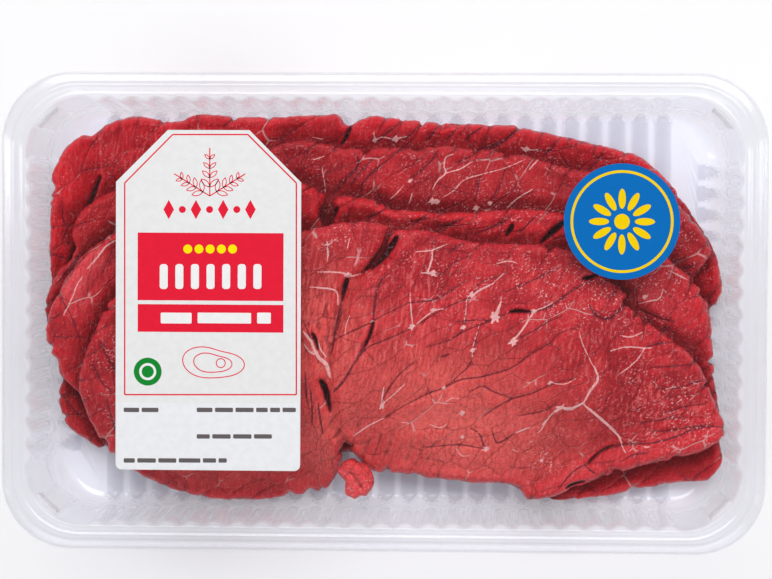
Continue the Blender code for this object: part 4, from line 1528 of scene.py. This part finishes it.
# What the photograph shows on each slice: a half width in millimetres, then places in its
# pixels. A ridge has its rise in millimetres first.
TOP = {
    "veins": [
        (0.22, [(579, 331), (583, 345), (594, 368)]),
        (0.60, [(594, 366), (598, 379), (590, 391), (583, 404)]),
        (0.75, [(583, 403), (571, 409), (563, 408), (556, 407)]),
        (0.50, [(564, 404), (560, 409), (553, 413)]),
        (0.40, [(550, 416), (547, 420), (542, 425)]),
        (0.70, [(583, 404), (601, 419), (617, 434), (622, 444)]),
        (0.25, [(621, 444), (626, 454)]),
        (0.45, [(432, 251), (432, 259), (427, 274)]),
        (0.30, [(414, 252), (432, 250), (447, 244)]),
        (0.28, [(420, 273), (428, 273), (438, 277)]),
        (0.45, [(471, 296), (480, 290), (492, 284)]),
        (0.25, [(492, 284), (500, 277), (505, 272)]),
        (0.25, [(493, 265), (508, 261), (519, 264)]),
        (0.65, [(501, 301), (498, 310), (493, 319)]),
        (0.45, [(533, 313), (522, 330), (512, 342)]),
        (0.30, [(533, 311), (545, 307), (553, 302)]),
        (0.28, [(410, 292), (411, 310), (413, 327)]),
        (0.28, [(413, 327), (432, 312), (446, 308)]),
        (0.40, [(384, 386), (382, 398), (380, 408)]),
        (0.28, [(406, 383), (392, 396), (382, 404)]),
        (0.30, [(385, 417), (378, 421), (368, 426), (352, 437)]),
        (0.25, [(467, 295), (466, 310), (463, 328)]),
        (0.25, [(480, 323), (473, 347), (472, 362)]),
        (0.35, [(327, 241), (328, 254), (327, 262)]),
        (0.70, [(303, 331), (311, 341), (315, 352)]),
        (0.95, [(315, 349), (319, 358), (326, 364), (330, 378)]),
        (0.45, [(304, 343), (309, 351), (318, 356)]),
        (0.40, [(318, 340), (321, 350), (327, 358)]),
        (0.40, [(309, 287), (322, 288), (336, 291), (338, 305)]),
        (0.28, [(350, 315), (346, 325), (345, 335)]),
        (0.22, [(321, 244), (328, 245), (338, 237)]),
        (0.35, [(317, 272), (330, 272), (343, 273), (352, 276), (368, 271)]),
        (0.22, [(350, 237), (347, 250)]),
        (0.40, [(515, 433), (523, 430), (531, 427)]),
        (0.25, [(547, 420), (541, 430), (536, 434)]),
        (0.22, [(560, 406), (552, 414), (547, 420)]),
        (0.25, [(511, 449), (518, 452)]),
        (0.22, [(550, 383), (565, 384), (577, 378)]),
        (0.22, [(443, 404), (452, 398), (460, 399)]),
        (0.22, [(429, 424), (440, 428), (447, 424)]),
        (0.20, [(455, 447), (462, 456), (470, 455)]),
        (0.30, [(610, 351), (626, 347), (644, 348), (653, 348)]),
        (0.25, [(617, 376), (635, 362), (644, 350)]),
        (0.30, [(619, 335), (630, 337), (643, 332)]),
        (0.25, [(663, 390), (675, 387), (688, 388)]),
        (0.35, [(643, 446), (647, 447), (650, 446)]),
    ] + star(472, 295, 9) + star(495, 317, 15, 60) + star(513, 342, 11) + star(533, 312, 9)
    + star(412, 327, 9) + star(433, 273, 8, 0) + star(463, 328, 7) + star(473, 350, 7)
    + star(550, 383, 6) + star(433, 310, 6) + star(486, 449, 8) + star(462, 413, 7)
    + star(444, 388, 6) + star(382, 406, 8, 50)
    + star(348, 275, 8) + star(462, 437, 5) + star(541, 461, 5) + star(372, 322, 5),
    "seams": [
        (0.30, [(593, 280), (573, 290), (553, 305), (533, 313)]),
        (0.16, [(533, 313), (513, 312), (493, 320), (467, 330), (450, 340), (427, 347)]),
        (0.16, [(497, 277), (480, 283), (470, 297), (447, 307), (430, 317), (413, 327)]),
        (0.18, [(413, 327), (397, 335), (380, 342), (367, 348), (353, 365), (343, 380),
                (333, 391)]),
        (0.20, [(467, 280), (447, 293), (433, 300), (410, 303), (400, 307)]),
        (0.18, [(400, 307), (380, 317), (368, 324), (340, 337), (330, 345)]),
        (0.28, [(388, 273), (380, 283), (375, 300), (373, 320), (368, 343)]),
        (0.35, [(369, 340), (362, 350), (355, 362)]),
        (0.18, [(355, 362), (343, 383), (333, 393)]),
        (0.30, [(343, 285), (341, 303), (335, 330), (332, 352)]),
        (0.17, [(580, 327), (560, 333), (550, 343), (533, 353), (513, 367), (500, 372),
                (480, 377), (460, 380), (444, 388), (427, 394), (404, 406), (387, 416)]),
        (0.16, [(577, 378), (553, 384), (533, 393), (515, 398), (500, 405), (484, 416)]),
        (0.15, [(470, 392), (482, 386), (492, 391), (508, 397), (515, 398)]),
        (0.14, [(481, 323), (474, 347), (470, 364), (457, 377), (444, 388)]),
        (0.14, [(467, 298), (463, 328), (450, 340)]),
        (0.16, [(413, 363), (397, 377), (384, 397), (380, 407)]),
        (0.28, [(441, 357), (450, 354)]),
        (0.20, [(471, 428), (480, 435), (483, 444), (487, 449)]),
        (0.20, [(492, 430), (495, 440), (498, 443), (505, 440), (515, 433)]),
        (0.13, [(425, 447), (440, 446), (460, 445), (486, 449)]),
        (0.14, [(518, 416), (543, 411), (556, 404)]),
        (0.14, [(440, 276), (455, 262), (470, 256)]),
        (0.16, [(505, 292), (520, 286), (540, 277), (558, 268)]),
        (0.14, [(455, 322), (478, 320), (493, 320)]),
        (0.14, [(560, 317), (548, 322), (535, 330), (520, 338)]),
        (0.14, [(447, 255), (456, 247), (466, 242)]),
        (0.35, [(590, 307), (597, 316), (608, 319), (619, 311), (623, 303)]),
        (0.22, [(644, 348), (662, 343), (675, 342)]),
        (0.14, [(646, 368), (662, 367), (687, 365), (697, 361)]),
        (0.12, [(658, 389), (678, 388), (696, 382), (711, 379)]),
        (0.12, [(662, 415), (683, 407), (706, 404)]),
        (0.12, [(640, 424), (660, 420), (684, 417)]),
        (0.14, [(649, 432), (674, 430), (697, 426), (716, 427)]),
        (0.30, [(100, 341), (106, 355), (113, 366), (118, 374)]),
        (0.18, [(93, 365), (100, 380), (112, 392)]),
        (0.20, [(106, 398), (112, 420), (118, 440)]),
        (0.22, [(310, 388), (312, 406), (312, 424)]),
        (0.30, [(318, 402), (320, 418), (323, 434)]),
        (0.20, [(305, 372), (306, 390), (307, 404)]),
        (0.18, [(304, 322), (312, 342), (318, 362)]),
        (0.25, [(586, 466), (590, 470), (595, 473)]),
        (0.26, [(612, 446), (628, 444), (651, 443), (678, 436), (689, 431), (712, 426),
                (726, 429)]),
        (0.22, [(558, 490), (566, 479), (576, 469), (588, 463)]),
        (0.20, [(620, 462), (632, 455), (650, 452)]),
    ],
    "gaps": [
        (0.95, [(397, 236), (391, 246), (382, 258), (371, 270)]),
        (0.60, [(347, 278), (344, 290), (342, 300)]),
        (0.85, [(320, 380), (325, 390), (328, 403), (330, 412)]),
        (0.35, [(373, 322), (370, 334), (364, 347)]),
        (0.45, [(566, 488), (574, 484), (585, 481)]),
        (0.20, [(588, 463), (600, 452), (612, 446)]),
        (0.45, [(583, 279), (591, 277), (600, 274)]),
        (0.40, [(510, 312), (520, 311), (531, 312)]),
        (0.45, [(312, 333), (316, 341), (318, 350)]),
    ],
    "ridges": [
        (-0.7, 4.5, [(392, 424), (430, 419), (495, 418)]),
        (0.5, 3.0, [(355, 436), (380, 428), (400, 426)]),
        (1.5, 4.2, [(545, 492), (566, 478), (590, 468), (640, 456), (690, 443), (716, 437)]),
        (-1.3, 2.8, [(396, 238), (388, 250), (375, 266), (360, 278), (346, 292), (338, 320),
                     (326, 350), (323, 378), (329, 400), (333, 425), (346, 447)]),
        (1.2, 3.0, [(308, 330), (318, 350), (322, 372)]),
        (0.8, 3.0, [(600, 305), (610, 309), (618, 302)]),
    ],
}
TOP["ridges"] += [
    (0.48 - 0.03 * fold, 1.4, [(376 + step, 437 - fold), (371 + step, 450 + fold % 3),
                               (366 + step, 463 - 2 * (fold % 2))])
    for fold, step in enumerate((0, 10, 23, 33, 45, 55, 66))
]
# Fields on each slice: an even share, then soft patches. The second field places the painted
# highlights of the moist specks.
TOP_FIELDS = {
    "pale": [0.03, (0.78, 470, 445, 30.0, 13.0), (0.62, 440, 385, 28.0, 14.0),
             (0.55, 330, 440, 9.0, 18.0), (0.40, 220, 450, 25.0, 14.0),
             (0.60, 325, 325, 14.0, 18.0)],
    "wet": [0.15, (0.65, 610, 300, 20.0, 9.0), (0.55, 660, 395, 20.0, 13.0),
            (0.55, 500, 275, 34.0, 9.0), (0.45, 350, 235, 20.0, 6.0),
            (0.70, 545, 455, 7.0, 9.0), (0.5, 120, 380, 8.0, 22.0), (0.55, 700, 430, 12.0, 10.0)],
    "ripple": [0.32, (0.80, 655, 402, 15.0, 8.0), (0.60, 318, 315, 9.0, 14.0),
               (0.55, 425, 290, 12.0, 8.0), (0.50, 600, 350, 12.0, 7.0),
               (0.40, 390, 345, 14.0, 8.0)],
}
LOWER_FIELDS = {
    "pale": [0.12, (0.4, 640, 300, 10.0, 12.0), (0.9, 96, 258, 5.0, 5.0), (0.9, 78, 284, 5.0, 8.0)],
    "wet": [0.26, (0.6, 660, 260, 16.0, 18.0), (0.35, 480, 165, 40.0, 7.0),
            (0.35, 480, 215, 40.0, 5.0), (-0.5, 660, 470, 30.0, 8.0)],
    "ripple": [0.30, (0.5, 130, 160, 14.0, 12.0), (0.4, 120, 300, 12.0, 20.0)],
}
SCRAP = {
    "ridges": [
        (0.8, 1.7, [(347, 464), (355, 469), (362, 476), (368, 486)]),
        (0.5, 1.4, [(350, 478), (354, 486), (361, 493)]),
    ],
}
SCRAP_FIELDS = {"pale": [0.55], "wet": [0.55], "ripple": [0.2]}
THIRD = {
    "veins": [
        (0.42, [(117, 240), (107, 246), (99, 256), (87, 270)]),
        (0.30, [(84, 275), (77, 286), (73, 297), (63, 316)]),
        (0.28, [(638, 304), (650, 301), (660, 298), (663, 288)]),
        (0.25, [(668, 270), (688, 280)]),
    ] + star(560, 224, 6) + star(645, 297, 7),
    "seams": [
        (0.22, [(390, 206), (378, 213), (365, 219)]),
        (0.22, [(429, 213), (421, 219), (412, 225)]),
        (0.24, [(466, 217), (458, 221), (449, 225), (436, 232)]),
        (0.24, [(515, 213), (507, 219), (498, 225), (475, 234)]),
        (0.22, [(540, 212), (530, 222), (520, 232)]),
        (0.10, [(62, 300), (72, 318), (80, 340)]),
        (0.25, [(640, 345), (655, 338), (672, 325)]),
        (0.25, [(642, 310), (660, 318), (676, 322)]),
    ],
    "gaps": [
        (0.60, [(513, 224), (510, 230), (506, 236)]),
        (0.85, [(565, 221), (557, 228), (550, 234), (541, 243)]),
        (0.50, [(337, 207), (334, 214), (330, 222)]),
    ],
    "ridges": [(1.0, 3.5, [(110, 245), (90, 268), (72, 296)])],
}
SECOND = {
    "veins": [
        (0.38, [(454, 154), (446, 157), (444, 167), (446, 173), (438, 180), (432, 190)]),
        (0.28, [(446, 173), (460, 169), (473, 161)]),
        (0.22, [(526, 159), (505, 168), (479, 175), (464, 180), (453, 191), (442, 198)]),
        (0.28, [(539, 159), (533, 165), (529, 170)]),
        (0.32, [(533, 189), (518, 198), (507, 208)]),
        (0.35, [(412, 193), (411, 198), (409, 203)]),
        (0.25, [(404, 185), (397, 193), (389, 200)]),
        (0.25, [(313, 160), (325, 156)]),
        (0.22, [(322, 166), (324, 180), (325, 192)]),
    ] + star(432, 201, 9) + star(437, 202, 7) + star(410, 181, 6) + star(476, 208, 7)
    + star(490, 203, 6) + star(374, 203, 5),
    "seams": [
        (0.32, [(356, 152), (358, 160), (357, 168), (343, 183), (333, 195)]),
        (0.25, [(403, 148), (384, 163), (365, 180), (358, 198)]),
        (0.25, [(439, 149), (431, 161), (420, 171), (410, 180)]),
        (0.20, [(476, 153), (465, 159), (455, 163)]),
        (0.20, [(372, 160), (360, 172), (350, 186)]),
        (0.15, [(505, 170), (500, 185), (492, 200)]),
        (0.15, [(480, 176), (478, 190), (474, 202)]),
        (0.22, [(676, 268), (688, 268), (700, 262)]),
        (0.12, [(60, 379), (70, 387), (79, 397), (85, 413)]),
        (0.10, [(64, 396), (74, 410), (90, 424)]),
        (0.25, [(80, 252), (67, 270), (55, 286)]),
        (0.25, [(700, 215), (704, 232), (712, 250)]),
        (0.25, [(690, 275), (700, 280), (712, 284)]),
    ],
}
REAR = {
    "veins": [
        (0.28, [(374, 131), (375, 139), (382, 137), (395, 139), (407, 136)]),
        (0.28, [(520, 147), (530, 150), (540, 149)]),
        (0.22, [(312, 137), (322, 139)]),
    ] + star(375, 140, 7) + star(396, 139, 9) + star(526, 149, 7),
    "seams": [
        (0.28, [(399, 123), (391, 130), (382, 137), (375, 144)]),
        (0.28, [(439, 125), (433, 133), (427, 141)]),
        (0.28, [(484, 126), (470, 135), (466, 142)]),
        (0.32, [(517, 129), (502, 142), (479, 150)]),
        (0.32, [(560, 139), (552, 147), (544, 156)]),
        (0.22, [(420, 124), (412, 133), (404, 140)]),
        (0.22, [(460, 126), (452, 134), (446, 141)]),
        (0.25, [(604, 152), (596, 162), (588, 170)]),
    ],
    "gaps": [
        (0.45, [(351, 126), (347, 135), (341, 145)]),
        (0.55, [(100, 176), (90, 200), (80, 224), (77, 240), (72, 254), (63, 274)]),
    ],
}


# Node, seed, bundles, kind of beef, marks, fields, rise of the rim and depth of the furrows
SLICES = (
    ("slice_1", 1.3, LOWER_BUNDLES, "beef_rear", REAR, LOWER_FIELDS, 0.7, 0.75),
    ("slice_2", 4.4, LOWER_BUNDLES, "beef_second", SECOND, LOWER_FIELDS, 0.6, 0.7),
    ("slice_3", 7.7, LOWER_BUNDLES, "beef_third", THIRD, LOWER_FIELDS, 0.6, 0.75),
    ("slice_4", 9.1, TOP_BUNDLES, "beef_top", TOP, TOP_FIELDS, 0.3, 0.6),
)


def make_meat():
    """Make the slices, from the lowest up, and the scrap."""
    looks = {name: meat_material(name, *values) for name, values in BEEF.items()}
    surfaces = [Surface(node, seed, bundles) for node, seed, bundles, *_ in SLICES]
    for index, (_, _, _, kind, marks, fields, rim_rise, furrow_depth) in enumerate(SLICES):
        covers = surfaces[index + 1:]
        make_slice(surfaces[index], covers, looks[kind], marks, FIBRES, fields, rim_rise,
                   furrow_depth)
    scrap = Surface("meat_scrap", 3.1, SCRAP_BUNDLES, 1.0)
    make_slice(scrap, [], looks["beef_scrap"], SCRAP, SCRAP_FIBRES, SCRAP_FIELDS,
               0.2, 0.15)


# Stage

def add_light(name, place, size, power):
    """Add a soft light that looks at the pack, its place and size in metres."""
    data = bpy.data.lights.new(name, "AREA")
    data.shape = "RECTANGLE"
    data.size, data.size_y = size
    data.energy = power
    light = bpy.data.objects.new(name, data)
    light.location = place
    light.rotation_euler = (Vector(AIM) - Vector(place)).to_track_quat("-Z", "Y").to_euler()
    bpy.context.collection.objects.link(light)


def make_surround():
    """Add a plain bright surround that is darker overhead."""
    world = bpy.data.worlds.new("surround")
    bpy.context.scene.world = world
    world.use_nodes = True
    tree = world.node_tree
    place = tree.nodes.new("ShaderNodeTexCoord")
    split = tree.nodes.new("ShaderNodeSeparateXYZ")
    ramp = tree.nodes.new("ShaderNodeMapRange")
    ramp.interpolation_type = "SMOOTHSTEP"
    for name, value in SURROUND_FADE:
        ramp.inputs[name].default_value = value
    tree.links.new(place.outputs["Generated"], split.inputs[0])
    tree.links.new(split.outputs["Z"], ramp.inputs["Value"])
    tree.links.new(ramp.outputs["Result"], tree.nodes["Background"].inputs["Color"])
    tree.nodes["Background"].inputs["Strength"].default_value = SURROUND_STRENGTH


def make_stage():
    """Add the pale floor, the soft lights and the surround, and set how light is traced."""
    pale = Shader("floor_pale")
    pale.set(Base_Color=(0.93, 0.93, 0.94, 1.0), Roughness=0.75)
    half, low = FLOOR_HALF, -FLOOR_DROP
    corners = [(-half, -half, low), (half, -half, low), (half, half, low), (-half, half, low)]
    floor = new_object("floor", corners, [(0, 1, 2, 3)], pale.material, smooth=False)
    for name, place, size, power in LIGHTS:
        add_light(name, place, size, power)
    make_surround()
    scene = bpy.context.scene
    scene.view_settings.view_transform = "Standard"
    scene.cycles.max_bounces = LIGHT_BOUNCES
    scene.cycles.transparent_max_bounces = CLEAR_BOUNCES


add_camera()
make_stage()
make_tray(clear_material("tray_clear", *TRAY_PLASTIC))
make_film(clear_material("film_clear", *FILM_PLASTIC))
make_label()
make_sticker()
make_meat()
